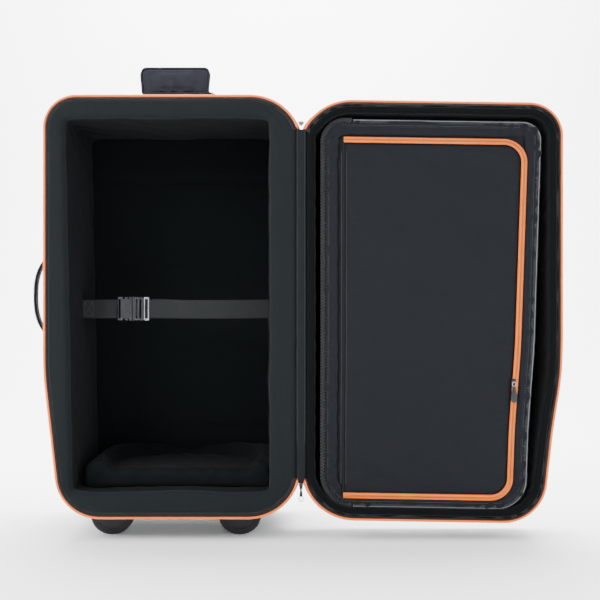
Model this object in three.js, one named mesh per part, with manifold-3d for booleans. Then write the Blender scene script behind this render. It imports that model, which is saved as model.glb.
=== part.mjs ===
// Wheeled soft carry case for a large telescope tube. It stands upright on its front feet and rear
// wheels, with its lid opened flat beside it. Millimetres, +Z up, X across the opened case and Y from
// the rims backwards.
// The shapes are drawn from the hinge line (x = 0) and the rims (y = 0); the last lines centre the whole.
import * as THREE from 'three';
import { mergeVertices } from 'three/addons/utils/BufferGeometryUtils.js';
import Module from 'manifold-3d';

const wasm = await Module();
wasm.setup();

// ---- Driving dimensions ----

// Outline shared by the base and the lid, as seen from the front
const caseWidth = 505;
const caseHeight = 831;
const floorClearance = 44;
const taperHeight = 286;
const taperInset = 32;
const freeTopRadius = 65;
const freeBottomRadius = 88;
const taperRadius = 600;
const notchRadius = 105;
const topNotchDrop = 67;
const bottomNotchRise = 80;

// Depths, walls and clearances
const baseDepth = 300;
const lidDepth = 130;
const hingeGap = 1.5;
const rimGap = 1.8;
const fit = 0.4;
const skin = 3;
const board = 3;
const pipingDiameter = 6;
const hingeLeafGap = 0.6;
const hingeLeafWidth = 7.4;
const hingeLeafEndGap = 6;
const zipperTapeWidth = 9;
const zipperTapeThickness = 1;

// Foam around the telescope
const freeWall = 42;
const hingeWall = 60;
const topWall = 46;
const bottomWall = 53;
const cavityTaper = 14;
const backFoam = 25;
const cradleHeight = 55;
const cradleFront = 50;
const cradleFreeGap = 14;
const cradleScoopDepth = 22;
const tubeRadius = 160;
const tubeFromHinge = 242;

// Strap and buckle
const strapWidth = 38;
const strapThickness = 2.5;
const strapHeight = 411;
const strapDepth = 110;
const buckleWidth = 50;
const buckleThickness = 12;
const buckleFromHinge = 346;
const socketLength = 32;
const plugLength = 22;
const tongueLength = 24;
const tongueWidth = 9;
const prongWidth = 6;
const prongSetBack = 3;
const rootLength = 6;
const adjusterLength = 11;
const adjusterThickness = 8;

// Carry handles
const handleBandThickness = 5;
const handleWidth = 26;
const handleLegWidth = 14;
const lugRadius = 3.5;
const lugCover = 2.5;
const handleBend = 24;
const handleAxisHeight = 9;
const anchorLength = 24;
const anchorWidth = 34;
const handleDepth = 140;
const topHandleSpan = 190;
const topHandleRise = 25;
const sideHandleSpan = 190;
const sideHandleRise = 42;
const sideHandleHeight = 437;
const wrapLength = 146;
const wrapHeight = 50;
const wrapThickness = 7;
const wrapShift = 8;
const wrapCorner = 12;

// Pull-out trolley
const trolleySpacing = 150;
const outerTube = { width: 24, depth: 14, wall: 1.5 };
const stageTube = { width: 19.6, depth: 9.6, wall: 1.2 };
const trolleyStandoff = 9;
const trolleyFootHeight = 12;
const trolleyFootGap = 8;
const trolleyFootOverhang = 4;
const stageTubeRest = 60;
const gripHeight = 22;
const gripDepth = 22;
const gripOverhang = 20;
const gripCorner = 8;
const bezelOverhang = 12;
const bezelLip = 4;
const bezelThickness = 8;
const buttonLength = 38;
const buttonDepth = 10;
const buttonHeight = 9;
const buttonTravel = 3;

// Feet and wheels
const footSides = 13;
const footSpacing = 258;
const footFront = 66;
const footLength = 46;
const wheelRadius = 40;
const wheelWidth = 26;
const wheelSpacing = 300;
const wheelFromBack = 18;
const tyreThickness = 7;
const wheelChamfer = 3;
const housingDrop = 12;
const axleRadius = 4;
const housingWall = 4;
const wheelClearance = 4;

// Lid lining and pocket
const lidWall = 22;
const lidPad = 8;
const pocketGap = 14;
const pocketTopGap = 12;
const pocketCornerGap = 2;
const pocketFront = 14;
const pocketWall = 2.5;
const pocketCorner = 28;
const pocketZipInset = 32;
const pocketZipTopInset = 40;
const pocketZipBottomInset = 22;
const pocketZipWidth = 14;
const pocketZipThickness = 3;
const pocketZipProud = 1;
const pocketTaperGap = 8;
const pocketZipCorner = 40;
const pocketFlapThickness = 5;
const pocketSeamFromPocketEdge = 42;
const pocketSliderHeight = 268;

// Zipper hardware
const sliderLength = 14;
const sliderWidth = 9;
const sliderThickness = 4;
const pullLength = 30;
const pocketPullLength = 40;
const pullWidth = 8;
const pullThickness = 2;
const pullRingRadius = 6;
const pullRingWidth = 2.2;
const stopSize = 6;
const stopLength = 9;
const stopGap = 5;

// ---- Heights and widths that follow ----

const caseBottom = floorClearance;
const caseTop = floorClearance + caseHeight;
const taperLean = Math.atan2(taperInset, taperHeight);
const taperReach = taperRadius * Math.tan(taperLean / 2) + 1;
const wallStack = skin + fit + board + fit;
const shellFront = rimGap + pipingDiameter + fit;
const baseBackInside = baseDepth - skin - fit;
const cavityBack = baseBackInside - backFoam;
const lidBackInside = lidDepth - skin - fit;

// ---- Geometry helpers ----

function point(x, z) {
  return new THREE.Vector2(x, z);
}

// Points of an arc, both ends included
function arcPoints(centre, radius, fromAngle, toAngle) {
  const steps = Math.max(2, Math.ceil(Math.abs(toAngle - fromAngle) / 0.2));
  const points = [];
  for (let i = 0; i <= steps; i += 1) {
    const angle = fromAngle + ((toAngle - fromAngle) * i) / steps;
    points.push(point(centre.x + radius * Math.cos(angle), centre.y + radius * Math.sin(angle)));
  }
  return points;
}

// The arc that rounds one corner of a polygon
function cornerArc(before, corner, after, radius) {
  const back = before.clone().sub(corner).normalize();
  const ahead = after.clone().sub(corner).normalize();
  const half = Math.acos(back.dot(ahead)) / 2;
  const middle = back.clone().add(ahead).normalize();
  const centre = corner.clone().addScaledVector(middle, radius / Math.sin(half));
  const start = corner.clone().addScaledVector(back, radius / Math.tan(half)).sub(centre);
  const end = corner.clone().addScaledVector(ahead, radius / Math.tan(half)).sub(centre);
  const from = start.angle();
  let to = end.angle();
  if (to - from > Math.PI) to -= 2 * Math.PI;
  if (from - to > Math.PI) to += 2 * Math.PI;
  return arcPoints(centre, radius, from, to);
}

function roundedPolygon(corners, radius) {
  const count = corners.length;
  return corners.flatMap((corner, i) =>
    cornerArc(corners[(i + count - 1) % count], corner, corners[(i + 1) % count], radius));
}

// A flat outline in X and Z, made solid between two depths along Y
function slab(points, front, back) {
  const shape = new THREE.Shape(points);
  const geometry = new THREE.ExtrudeGeometry(shape, { depth: back - front, bevelEnabled: false });
  geometry.rotateX(Math.PI / 2);
  geometry.translate(0, back, 0);
  return geometry;
}

// A box given by its limits
function boxBetween(x0, x1, y0, y1, z0, z1) {
  const geometry = new THREE.BoxGeometry(x1 - x0, y1 - y0, z1 - z0);
  geometry.translate((x0 + x1) / 2, (y0 + y1) / 2, (z0 + z1) / 2);
  return geometry;
}

// A cylinder along X or Z, given by its limits along that axis
function rodAlongX(x0, x1, y, z, radius, sides = 24) {
  const geometry = new THREE.CylinderGeometry(radius, radius, x1 - x0, sides);
  geometry.rotateZ(Math.PI / 2);
  geometry.translate((x0 + x1) / 2, y, z);
  return geometry;
}

function rodAlongZ(x, y, z0, z1, radius, sides = 48) {
  const geometry = new THREE.CylinderGeometry(radius, radius, z1 - z0, sides);
  geometry.rotateX(Math.PI / 2);
  geometry.translate(x, y, (z0 + z1) / 2);
  return geometry;
}

function toSolid(geometry) {
  const bare = geometry.clone();
  bare.deleteAttribute('normal');
  bare.deleteAttribute('uv');
  const merged = mergeVertices(bare, 1e-4);
  return new wasm.Manifold(new wasm.Mesh({
    numProp: 3,
    vertProperties: new Float32Array(merged.attributes.position.array),
    triVerts: new Uint32Array(merged.index.array),
  }));
}

function toGeometry(solid) {
  const mesh = solid.getMesh();
  const geometry = new THREE.BufferGeometry();
  geometry.setAttribute('position', new THREE.BufferAttribute(mesh.vertProperties, 3));
  geometry.setIndex(new THREE.BufferAttribute(mesh.triVerts, 1));
  geometry.computeVertexNormals();
  return geometry;
}

function join(...geometries) {
  return toGeometry(geometries.map(toSolid).reduce((sum, solid) => sum.add(solid)));
}

function cut(geometry, ...tools) {
  return toGeometry(tools.map(toSolid).reduce((rest, tool) => rest.subtract(tool), toSolid(geometry)));
}

function common(geometry, other) {
  return toGeometry(toSolid(geometry).intersect(toSolid(other)));
}

// ---- The shared outline ----

// Outline of the case a given distance inside its outer face, as points (distance from hinge, height),
// from the lower notch round the free side to the upper notch. The straight hinge side closes it.
function outlinePoints(inset) {
  const hingeSide = hingeGap + inset;
  const bottom = caseBottom + inset;
  const top = caseTop - inset;
  const free = caseWidth - inset;
  const freeBottom = caseWidth - taperInset - inset / Math.cos(taperLean) + inset * Math.tan(taperLean);
  const taperStart = caseBottom + taperHeight - inset * Math.tan(taperLean / 2);

  const lowerCentre = point(
    hingeGap + Math.sqrt(bottomNotchRise * (2 * notchRadius - bottomNotchRise)),
    caseBottom + notchRadius,
  );
  const upperCentre = point(
    hingeGap + Math.sqrt(topNotchDrop * (2 * notchRadius - topNotchDrop)),
    caseTop - notchRadius,
  );
  const radius = notchRadius - inset;
  const lowerSwing = Math.acos((lowerCentre.x - hingeSide) / radius);
  const upperSwing = Math.acos((upperCentre.x - hingeSide) / radius);

  const bottomCorner = point(freeBottom, bottom);
  const taperCorner = point(free, taperStart);
  const topCorner = point(free, top);
  return [
    ...arcPoints(lowerCentre, radius, Math.PI + lowerSwing, 1.5 * Math.PI),
    ...cornerArc(point(lowerCentre.x, bottom), bottomCorner, taperCorner, freeBottomRadius - inset),
    ...cornerArc(bottomCorner, taperCorner, topCorner, taperRadius - inset),
    ...cornerArc(taperCorner, topCorner, point(upperCentre.x, top), freeTopRadius - inset),
    ...arcPoints(upperCentre, radius, 0.5 * Math.PI, Math.PI - upperSwing),
  ];
}

const baseSide = -1;
const lidSide = 1;

// The outline on the base's side (towards -X) or the lid's side (towards +X)
function outline(side, inset) {
  return outlinePoints(inset).map((p) => point(side * p.x, p.y));
}

// An open strip that follows the outline everywhere but along the hinge, between two insets
function outlineStrip(side, outerInset, innerInset, front, back) {
  const outer = outline(side, outerInset);
  const inner = outline(side, innerInset);
  return slab([...outer, ...inner.reverse()], front, back);
}

// ---- Materials ----

function material(color, roughness, metalness = 0) {
  return new THREE.MeshStandardMaterial({ color, roughness, metalness });
}

const blackNylon = () => material(0x1c1d20, 0.85);
const liningCloth = () => material(0x24282c, 0.9);
const foamBoard = () => material(0x2b2d30, 0.8);
const orangeTrim = () => material(0xe8743a, 0.7);
const greyNylon = () => material(0x33353b, 0.8);
const webbing = () => material(0x161719, 0.8);
const blackPlastic = () => material(0x17181a, 0.45);
const footRubber = () => material(0x2c2826, 0.6);
const tyreRubber = () => material(0x151515, 0.85);
const tubeMetal = () => material(0xa9adb2, 0.3, 1);
const zipMetal = () => material(0xc4c7cb, 0.3, 1);

function place(group, name, geometry, look) {
  const mesh = new THREE.Mesh(geometry, look);
  mesh.name = name;
  group.add(mesh);
  return mesh;
}

// ---- Base: shell, boards and foam ----

const baseCentre = -caseWidth / 2;

// The two pockets at the lower back corners that take the wheel housings
const wheelAxisY = baseDepth - wheelFromBack;
const wheelXs = [baseCentre - wheelSpacing / 2, baseCentre + wheelSpacing / 2];
const wellRadius = wheelRadius + wheelClearance;
const housingHalf = wheelWidth / 2 + wheelClearance + housingWall;
const housingTop = wheelRadius + wellRadius + housingWall;
const housingFront = wheelAxisY - wellRadius - housingWall;

function housingSpace(x, clearance) {
  return boxBetween(
    x - housingHalf - clearance, x + housingHalf + clearance,
    housingFront - clearance, baseDepth + 1,
    caseBottom - 1, housingTop + clearance,
  );
}

const housingCuts = wheelXs.map((x) => housingSpace(x, fit));

// The channels in the back foam and the slots in the top that take the trolley
const trolleyY = baseBackInside - trolleyStandoff;
const trolleyXs = [baseCentre - trolleySpacing / 2, baseCentre + trolleySpacing / 2];
const outerTubeTop = caseTop - skin - fit;
const trolleyFootBottom = housingTop + trolleyFootGap;
const outerTubeBottom = trolleyFootBottom + trolleyFootHeight + fit;

const tubeChannels = trolleyXs.map((x) => boxBetween(
  x - outerTube.width / 2 - fit, x + outerTube.width / 2 + fit,
  trolleyY - outerTube.depth / 2 - fit, baseDepth - skin,
  outerTubeBottom - fit, caseTop,
));
const trolleyFootHalf = trolleySpacing / 2 + outerTube.width / 2 + trolleyFootOverhang;
const footChannel = boxBetween(
  baseCentre - trolleyFootHalf - fit, baseCentre + trolleyFootHalf + fit,
  trolleyY - outerTube.depth / 2 - fit, baseDepth - skin,
  trolleyFootBottom - fit, outerTubeBottom + fit,
);
const stageSlots = trolleyXs.map((x) => boxBetween(
  x - stageTube.width / 2 - fit, x + stageTube.width / 2 + fit,
  trolleyY - stageTube.depth / 2 - fit, trolleyY + stageTube.depth / 2 + fit,
  caseTop - skin - 1, caseTop + 1,
));

// The space for the telescope, as seen from the front
const cavity = [
  point(-hingeWall - hingeGap, caseBottom + bottomWall),
  point(-caseWidth + freeWall + cavityTaper, caseBottom + bottomWall),
  point(-caseWidth + freeWall, caseTop - topWall),
  point(-hingeWall - hingeGap, caseTop - topWall),
];

function cavityEdgeAt(height) {
  const share = (height - caseBottom - bottomWall) / (caseHeight - topWall - bottomWall);
  return -caseWidth + freeWall + cavityTaper * (1 - share);
}

function makeBaseShell() {
  return cut(
    slab(outline(baseSide, 0), shellFront, baseDepth),
    slab(outline(baseSide, skin), shellFront - 1, baseDepth - skin),
    ...housingCuts,
    ...stageSlots,
  );
}

// Stiffening boards stand between the shell and the foam, along the straight stretches
function makeBoards(group) {
  const inner = skin + fit;
  const front = shellFront;
  const back = cavityBack - fit;
  const hingeX = -hingeGap - inner;
  const freeX = -caseWidth + inner;
  const lowZ = caseBottom + bottomNotchRise + board;
  const highZ = caseTop - topNotchDrop - board;
  const freeLow = caseBottom + taperHeight + taperReach;
  const freeHigh = caseTop - freeTopRadius;
  const topLeft = -caseWidth + freeTopRadius;
  const bottomLeft = -caseWidth + taperInset + freeBottomRadius;
  const notchReach = -hingeGap - notchRadius;
  const topZ = caseTop - inner;
  const bottomZ = caseBottom + inner;
  const boards = {
    board_hinge_side: boxBetween(hingeX - board, hingeX, front, back, lowZ, highZ),
    board_free_side: boxBetween(freeX, freeX + board, front, back, freeLow, freeHigh),
    board_top: boxBetween(topLeft, notchReach, front, back, topZ - board, topZ),
    board_bottom: boxBetween(
      bottomLeft, notchReach, front, housingFront - 2 * fit, bottomZ, bottomZ + board),
  };
  Object.entries(boards).forEach(([name, geometry]) => place(group, name, geometry, foamBoard()));
}

// Four foam walls meet at mitred corners round the cavity
function makeFoamWalls(group) {
  const block = slab(outline(baseSide, wallStack), rimGap, cavityBack - fit);
  const far = 2 * caseHeight;
  const [hingeLow, freeLow, freeHigh, hingeHigh] = cavity;
  const outerCorners = [
    point(-hingeGap, caseBottom),
    point(-caseWidth + taperInset, caseBottom),
    point(-caseWidth, caseTop),
    point(-hingeGap, caseTop),
  ];
  const walls = [
    ['foam_bottom', hingeLow, freeLow, outerCorners[0], outerCorners[1]],
    ['foam_free_side', freeLow, freeHigh, outerCorners[1], outerCorners[2]],
    ['foam_top', freeHigh, hingeHigh, outerCorners[2], outerCorners[3]],
    ['foam_hinge_side', hingeHigh, hingeLow, outerCorners[3], outerCorners[0]],
  ];
  walls.forEach(([name, start, end, startOuter, endOuter]) => {
    const along = end.clone().sub(start).normalize().multiplyScalar(fit / 2);
    const innerStart = start.clone().add(along);
    const innerEnd = end.clone().sub(along);
    const startRay = startOuter.clone().sub(start).normalize().multiplyScalar(far);
    const endRay = endOuter.clone().sub(end).normalize().multiplyScalar(far);
    const wedge = slab(
      [innerStart, innerEnd, innerEnd.clone().add(endRay), innerStart.clone().add(startRay)],
      rimGap - 1, baseDepth,
    );
    const wall = common(block, wedge);
    const shaped = name === 'foam_bottom' ? cut(wall, ...housingCuts) : wall;
    place(group, name, shaped, liningCloth());
  });
  const back = slab(outline(baseSide, skin + fit), cavityBack, baseBackInside);
  place(group, 'foam_back', cut(back, ...housingCuts, ...tubeChannels, footChannel), liningCloth());
}

// The cradle stands on the foam floor; the tube's end sits in its round scoop
function makeCradle() {
  const floor = caseBottom + bottomWall + fit;
  const top = floor + cradleHeight;
  const freeX = cavityEdgeAt(floor) + cradleFreeGap;
  const hingeX = -hingeGap - hingeWall - fit;
  const profile = [
    point(hingeX, floor),
    point(hingeX, top),
    ...cornerArc(point(hingeX, top), point(freeX, top), point(freeX, floor), cradleHeight * 0.45),
    point(freeX, floor),
  ];
  const block = slab(profile, cradleFront, cavityBack - fit);
  const scoopFloor = top - cradleScoopDepth;
  const scoop = rodAlongZ(-tubeFromHinge, cavityBack - tubeRadius, scoopFloor, top + 1, tubeRadius);
  return cut(block, scoop);
}

// A cord of piping runs round the rim, but not along the hinge. Chamfers make its section eight-sided.
function makePiping(side) {
  const chamfer = pipingDiameter * 0.3;
  const outer = outline(side, chamfer);
  const inner = outline(side, pipingDiameter - chamfer);
  const geometry = new THREE.ExtrudeGeometry(new THREE.Shape([...outer, ...inner.reverse()]), {
    depth: pipingDiameter - 2 * chamfer,
    bevelSize: chamfer,
    bevelThickness: chamfer,
    bevelSegments: 1,
  });
  geometry.rotateX(Math.PI / 2);
  geometry.translate(0, rimGap + pipingDiameter - chamfer, 0);
  return geometry;
}

function makeHingeLeaf(side) {
  const far = hingeLeafGap + hingeLeafWidth;
  const xs = side < 0 ? [-far, -hingeLeafGap] : [hingeLeafGap, far];
  const low = caseBottom + bottomNotchRise + hingeLeafEndGap;
  const high = caseTop - topNotchDrop - hingeLeafEndGap;
  return boxBetween(xs[0], xs[1], fit, shellFront - fit, low, high);
}

function makeZipperTape(side) {
  const inset = pipingDiameter + 2 * fit;
  const front = rimGap - fit - zipperTapeThickness;
  return outlineStrip(side, inset, inset + zipperTapeWidth, front, rimGap - fit);
}

// ---- Strap across the cavity ----

const strapZ = caseBottom + strapHeight;
const strapFront = strapDepth - strapThickness / 2;
const strapBack = strapDepth + strapThickness / 2;
const socketFree = -buckleFromHinge - socketLength;
const plugHinge = -buckleFromHinge + fit + plugLength;

function webbingBetween(x0, x1) {
  return boxBetween(x0, x1, strapFront, strapBack, strapZ - strapWidth / 2, strapZ + strapWidth / 2);
}

function buckleBlock(x0, x1, width, thickness) {
  return boxBetween(
    x0, x1, strapDepth - thickness / 2, strapDepth + thickness / 2, strapZ - width / 2, strapZ + width / 2);
}

// The socket is hollow from its mouth, with a window in each edge for the plug's side prongs
function makeBuckleSocket() {
  const mouth = -buckleFromHinge;
  const shell = buckleBlock(socketFree, mouth, buckleWidth, buckleThickness);
  const hollow = buckleBlock(mouth - tongueLength - 1, mouth + 1, buckleWidth - 7, buckleThickness - 5);
  const windows = buckleBlock(mouth - 19, mouth - 7, buckleWidth + 2, buckleThickness - 6);
  return cut(shell, hollow, windows);
}

function makeBucklePlug() {
  const face = -buckleFromHinge + fit;
  const body = buckleBlock(face, plugHinge, buckleWidth - 2, buckleThickness - 1);
  const thickness = buckleThickness - 7;
  const root = buckleBlock(face - rootLength, face + 1, buckleWidth - 9, thickness);
  const tongue = buckleBlock(face - tongueLength, face + 1, tongueWidth, thickness);
  const prongs = [-1, 1].map((edge) => {
    const prong = buckleBlock(face - tongueLength + prongSetBack, face + 1, prongWidth, thickness);
    prong.translate(0, 0, edge * (buckleWidth / 2 - 8));
    return prong;
  });
  return join(body, root, tongue, ...prongs);
}

// A flat ladder ring the loose webbing runs through
function makeAdjuster() {
  const x0 = plugHinge + fit;
  const ring = buckleBlock(x0, x0 + adjusterLength, buckleWidth - 2, adjusterThickness);
  const slot = buckleBlock(x0 - 1, x0 + adjusterLength + 1, strapWidth + 2, strapThickness + 1.5);
  return cut(ring, slot);
}

// ---- Carry handles ----

// A stiff padded handle along X that rises in Z; it swings on two lugs along X at the height 0
function makeHandle(span, rise) {
  const half = span / 2;
  const lower = lugRadius + 4;
  const arch = (height, inset) => {
    const low = point(-half + inset, lower);
    const high = point(-half + handleBend, height);
    const left = new THREE.QuadraticBezierCurve(low, point(-half + inset + 2, height), high).getPoints(6);
    const right = left.map((p) => point(-p.x, p.y)).reverse();
    return [...left, ...right];
  };
  const outer = arch(rise, 0);
  const inner = arch(rise - handleBandThickness, handleBandThickness);
  const band = slab([...outer, ...inner.reverse()], -handleWidth / 2, handleWidth / 2);
  const legs = [-1, 1].map((end) => boxBetween(
    Math.min(end * half, end * (half - handleBandThickness)),
    Math.max(end * half, end * (half - handleBandThickness)),
    -handleLegWidth / 2, handleLegWidth / 2, -lugRadius, lower + 1));
  const lugs = [-1, 1].map((end) => rodAlongX(
    Math.min(end * (half - 2), end * (half + anchorLength / 2)),
    Math.max(end * (half - 2), end * (half + anchorLength / 2)),
    0, 0, lugRadius, 16));
  return join(band, ...legs, ...lugs);
}

function makeHandleAnchor(end, span) {
  const near = span / 2 + fit;
  const x0 = end < 0 ? -near - anchorLength : near;
  const body = boxBetween(
    x0, x0 + anchorLength, -anchorWidth / 2, anchorWidth / 2, -handleAxisHeight + fit, lugRadius + lugCover);
  return cut(body, rodAlongX(x0 - 1, x0 + anchorLength + 1, 0, 0, lugRadius + 0.5, 16));
}

function makeHandleWrap() {
  const half = wrapLength / 2;
  const low = topHandleRise - handleBandThickness + 1;
  const panel = [
    point(-half, low),
    point(-half, low + wrapHeight - wrapCorner),
    point(-half + wrapCorner, low + wrapHeight),
    point(half - wrapCorner, low + wrapHeight),
    point(half, low + wrapHeight - wrapCorner),
    point(half, low),
  ];
  const back = -handleWidth / 2 - fit;
  const geometry = slab(panel, back - wrapThickness, back);
  geometry.translate(-wrapShift, 0, 0);
  return geometry;
}

// ---- Trolley ----

function rectTube(size, x, z0, z1) {
  const outer = boxBetween(
    x - size.width / 2, x + size.width / 2, trolleyY - size.depth / 2, trolleyY + size.depth / 2, z0, z1);
  const bore = boxBetween(
    x - size.width / 2 + size.wall, x + size.width / 2 - size.wall,
    trolleyY - size.depth / 2 + size.wall, trolleyY + size.depth / 2 - size.wall, z0 - 1, z1 + 1);
  return cut(outer, bore);
}

const bezelBottom = caseTop + fit;
const bezelTop = bezelBottom + bezelThickness;
const gripBottom = bezelTop + fit;
const gripTop = gripBottom + gripHeight;
const gripHalf = trolleySpacing / 2 + gripOverhang;

function makeBezel() {
  const half = gripHalf + bezelOverhang;
  const plate = boxBetween(
    baseCentre - half, baseCentre + half,
    trolleyY - gripDepth / 2 - bezelLip, Math.min(trolleyY + gripDepth / 2 + bezelLip, baseDepth),
    bezelBottom, bezelTop);
  const slots = trolleyXs.map((x) => boxBetween(
    x - stageTube.width / 2 - fit, x + stageTube.width / 2 + fit,
    trolleyY - stageTube.depth / 2 - fit, trolleyY + stageTube.depth / 2 + fit,
    bezelBottom - 1, bezelTop + 1));
  return cut(plate, ...slots);
}

function makeGrip() {
  const face = roundedPolygon([
    point(baseCentre - gripHalf, gripBottom),
    point(baseCentre + gripHalf, gripBottom),
    point(baseCentre + gripHalf, gripTop),
    point(baseCentre - gripHalf, gripTop),
  ], gripCorner);
  const bar = slab(face, trolleyY - gripDepth / 2, trolleyY + gripDepth / 2);
  const recess = boxBetween(
    baseCentre - buttonLength / 2 - fit, baseCentre + buttonLength / 2 + fit,
    trolleyY - buttonDepth / 2 - fit, trolleyY + buttonDepth / 2 + fit,
    gripTop - buttonHeight - buttonTravel, gripTop + 1);
  return cut(bar, recess);
}

function makeButton() {
  return boxBetween(
    baseCentre - buttonLength / 2, baseCentre + buttonLength / 2,
    trolleyY - buttonDepth / 2, trolleyY + buttonDepth / 2,
    gripTop - buttonHeight + buttonTravel / 2, gripTop + buttonTravel / 2 + 0.5);
}

// ---- Feet and wheels ----

// A half-round foot with a narrow flat to stand on
function makeFoot(x) {
  const height = floorClearance - fit;
  const radius = height / Math.cos(Math.PI / (2 * footSides));
  const profile = [];
  for (let i = 0; i <= footSides; i += 1) {
    const angle = Math.PI + (Math.PI * i) / footSides;
    profile.push(point(x + radius * Math.cos(angle), height + radius * Math.sin(angle)));
  }
  return slab(profile, footFront, footFront + footLength);
}

function makeHousing(x) {
  const block = boxBetween(
    x - housingHalf, x + housingHalf, housingFront, baseDepth, caseBottom - housingDrop, housingTop);
  const well = rodAlongX(
    x - wheelWidth / 2 - wheelClearance, x + wheelWidth / 2 + wheelClearance,
    wheelAxisY, wheelRadius, wellRadius, 40);
  const axleHole = rodAlongX(
    x - housingHalf - 1, x + housingHalf + 1, wheelAxisY, wheelRadius, axleRadius + fit, 20);
  return cut(block, well, axleHole);
}

// A ring about the wheel's axis
function wheelRing(x, outer, inner, width) {
  const half = width / 2;
  const profile = [
    point(inner, -half),
    point(outer - wheelChamfer, -half),
    point(outer, -half + wheelChamfer),
    point(outer, half - wheelChamfer),
    point(outer - wheelChamfer, half),
    point(inner, half),
    point(inner, -half),
  ];
  const geometry = new THREE.LatheGeometry(profile, 32);
  geometry.rotateZ(Math.PI / 2);
  geometry.translate(x, wheelAxisY, wheelRadius);
  return geometry;
}

// ---- Lid and its pocket ----

const pocketSideInset = skin + fit + lidWall + pocketGap;
const pocketTop = caseTop - skin - fit - lidWall - pocketTopGap;
const pocketBottom = caseBottom + skin + fit + lidWall + fit;
const pocketHingeX = hingeGap + pocketSideInset;
const pocketFreeTopX = caseWidth - pocketSideInset;
const pocketFreeBottomX = caseWidth - taperInset - pocketSideInset + pocketTaperGap;

function pocketFrame(side, top, bottom) {
  return [
    point(pocketHingeX + side, pocketBottom + bottom),
    point(pocketFreeBottomX - side, pocketBottom + bottom),
    point(pocketFreeTopX - side, pocketTop - top),
    point(pocketHingeX + side, pocketTop - top),
  ];
}

const halfZip = pocketZipWidth / 2;
const pocketZipFront = pocketFront - pocketZipProud;
const seamX = pocketHingeX + pocketSeamFromPocketEdge;

// The zipper's centre line: along the top, down the free side and back along the bottom
function pocketZipLine(offset) {
  const [, freeLow, freeHigh] = pocketFrame(
    pocketZipInset + offset, pocketZipTopInset + offset, pocketZipBottomInset + offset);
  const low = point(seamX, freeLow.y);
  const high = point(seamX, freeHigh.y);
  const radius = pocketZipCorner - offset;
  return [
    low,
    ...cornerArc(low, freeLow, freeHigh, radius),
    ...cornerArc(freeLow, freeHigh, high, radius),
    high,
  ];
}

// The pocket's block, a given distance inside its outer face; at the corners it follows the lining
function pocketBlock(inset, front, back) {
  const panel = roundedPolygon(pocketFrame(inset, inset, inset), pocketCorner - inset);
  const lining = outline(lidSide, skin + fit + lidWall + pocketCornerGap + inset);
  return common(slab(panel, front, back), slab(lining, front - 1, back + 1));
}

function makePocketBody() {
  const back = lidBackInside - lidPad - 2 * fit;
  return cut(
    pocketBlock(0, pocketFront, back),
    pocketBlock(pocketWall, pocketFront + pocketFlapThickness, back + 1),
    slab(pocketZipLine(-halfZip - fit), pocketFront - 1, pocketFront + 10),
  );
}

// Everything on the free side of the pocket's upright seam
function beyondSeam() {
  return boxBetween(seamX + fit, caseWidth, 0, baseDepth, caseBottom, caseTop);
}

function makePocketZip() {
  const outer = pocketZipLine(-halfZip);
  const inner = pocketZipLine(halfZip);
  const zipper = slab([...outer, ...inner.reverse()], pocketZipFront, pocketZipFront + pocketZipThickness);
  return common(zipper, beyondSeam());
}

function makePocketFlap() {
  const panel = slab(pocketZipLine(halfZip + fit), pocketFront, pocketFront + pocketFlapThickness);
  return common(panel, beyondSeam());
}

// ---- Zipper sliders and pulls, hanging down from the point where they are placed ----

function makeSlider(width, length, thickness) {
  const half = width / 2;
  const profile = roundedPolygon([
    point(-half * 0.7, -length / 2),
    point(half * 0.7, -length / 2),
    point(half, length / 2),
    point(-half, length / 2),
  ], 1.5);
  return slab(profile, -thickness, 0);
}

// The pull turns about X at its top back edge, clear of its slider, and ends in a ring
function makePull(length) {
  const half = pullWidth / 2;
  const ringZ = -length + pullRingRadius;
  const stem = slab([
    point(-half * 0.6, ringZ + 2),
    point(half * 0.6, ringZ + 2),
    point(half * 0.75, 0),
    point(-half * 0.75, 0),
  ], -pullThickness, 0);
  const disc = (radius, front, back) =>
    slab(arcPoints(point(0, ringZ), radius, 0, 2 * Math.PI).slice(1), front, back);
  const ring = disc(pullRingRadius, -pullThickness, 0);
  const eye = disc(pullRingRadius - pullRingWidth, -pullThickness - 1, 1);
  return cut(join(stem, ring), eye);
}

// ---- Assembly ----

const carryCase = new THREE.Group();
const base = new THREE.Group();
const lid = new THREE.Group();
carryCase.add(base, lid);

place(base, 'base_shell', makeBaseShell(), blackNylon());
makeBoards(base);
makeFoamWalls(base);
place(base, 'foam_cradle', makeCradle(), liningCloth());
place(base, 'base_piping', makePiping(baseSide), orangeTrim());
place(base, 'base_zipper_tape', makeZipperTape(baseSide), blackNylon());
place(base, 'base_hinge_leaf', makeHingeLeaf(baseSide), greyNylon());

const strapFreeEnd = cavityEdgeAt(strapZ - strapWidth) + 2 * fit;
place(base, 'strap_anchored', webbingBetween(strapFreeEnd, socketFree - fit), webbing());
place(base, 'strap_running', webbingBetween(plugHinge + fit, -hingeWall - hingeGap - fit), webbing());
place(base, 'buckle_socket', makeBuckleSocket(), blackPlastic());
place(base, 'buckle_plug', makeBucklePlug(), blackPlastic());
place(base, 'strap_adjuster', makeAdjuster(), zipMetal());

const topHandle = new THREE.Group();
topHandle.position.set(baseCentre, handleDepth, caseTop + handleAxisHeight);
place(topHandle, 'top_handle', makeHandle(topHandleSpan, topHandleRise), webbing());
place(topHandle, 'top_handle_wrap', makeHandleWrap(), greyNylon());
place(topHandle, 'top_handle_anchor_free', makeHandleAnchor(-1, topHandleSpan), blackPlastic());
place(topHandle, 'top_handle_anchor_hinge', makeHandleAnchor(1, topHandleSpan), blackPlastic());
base.add(topHandle);

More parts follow.
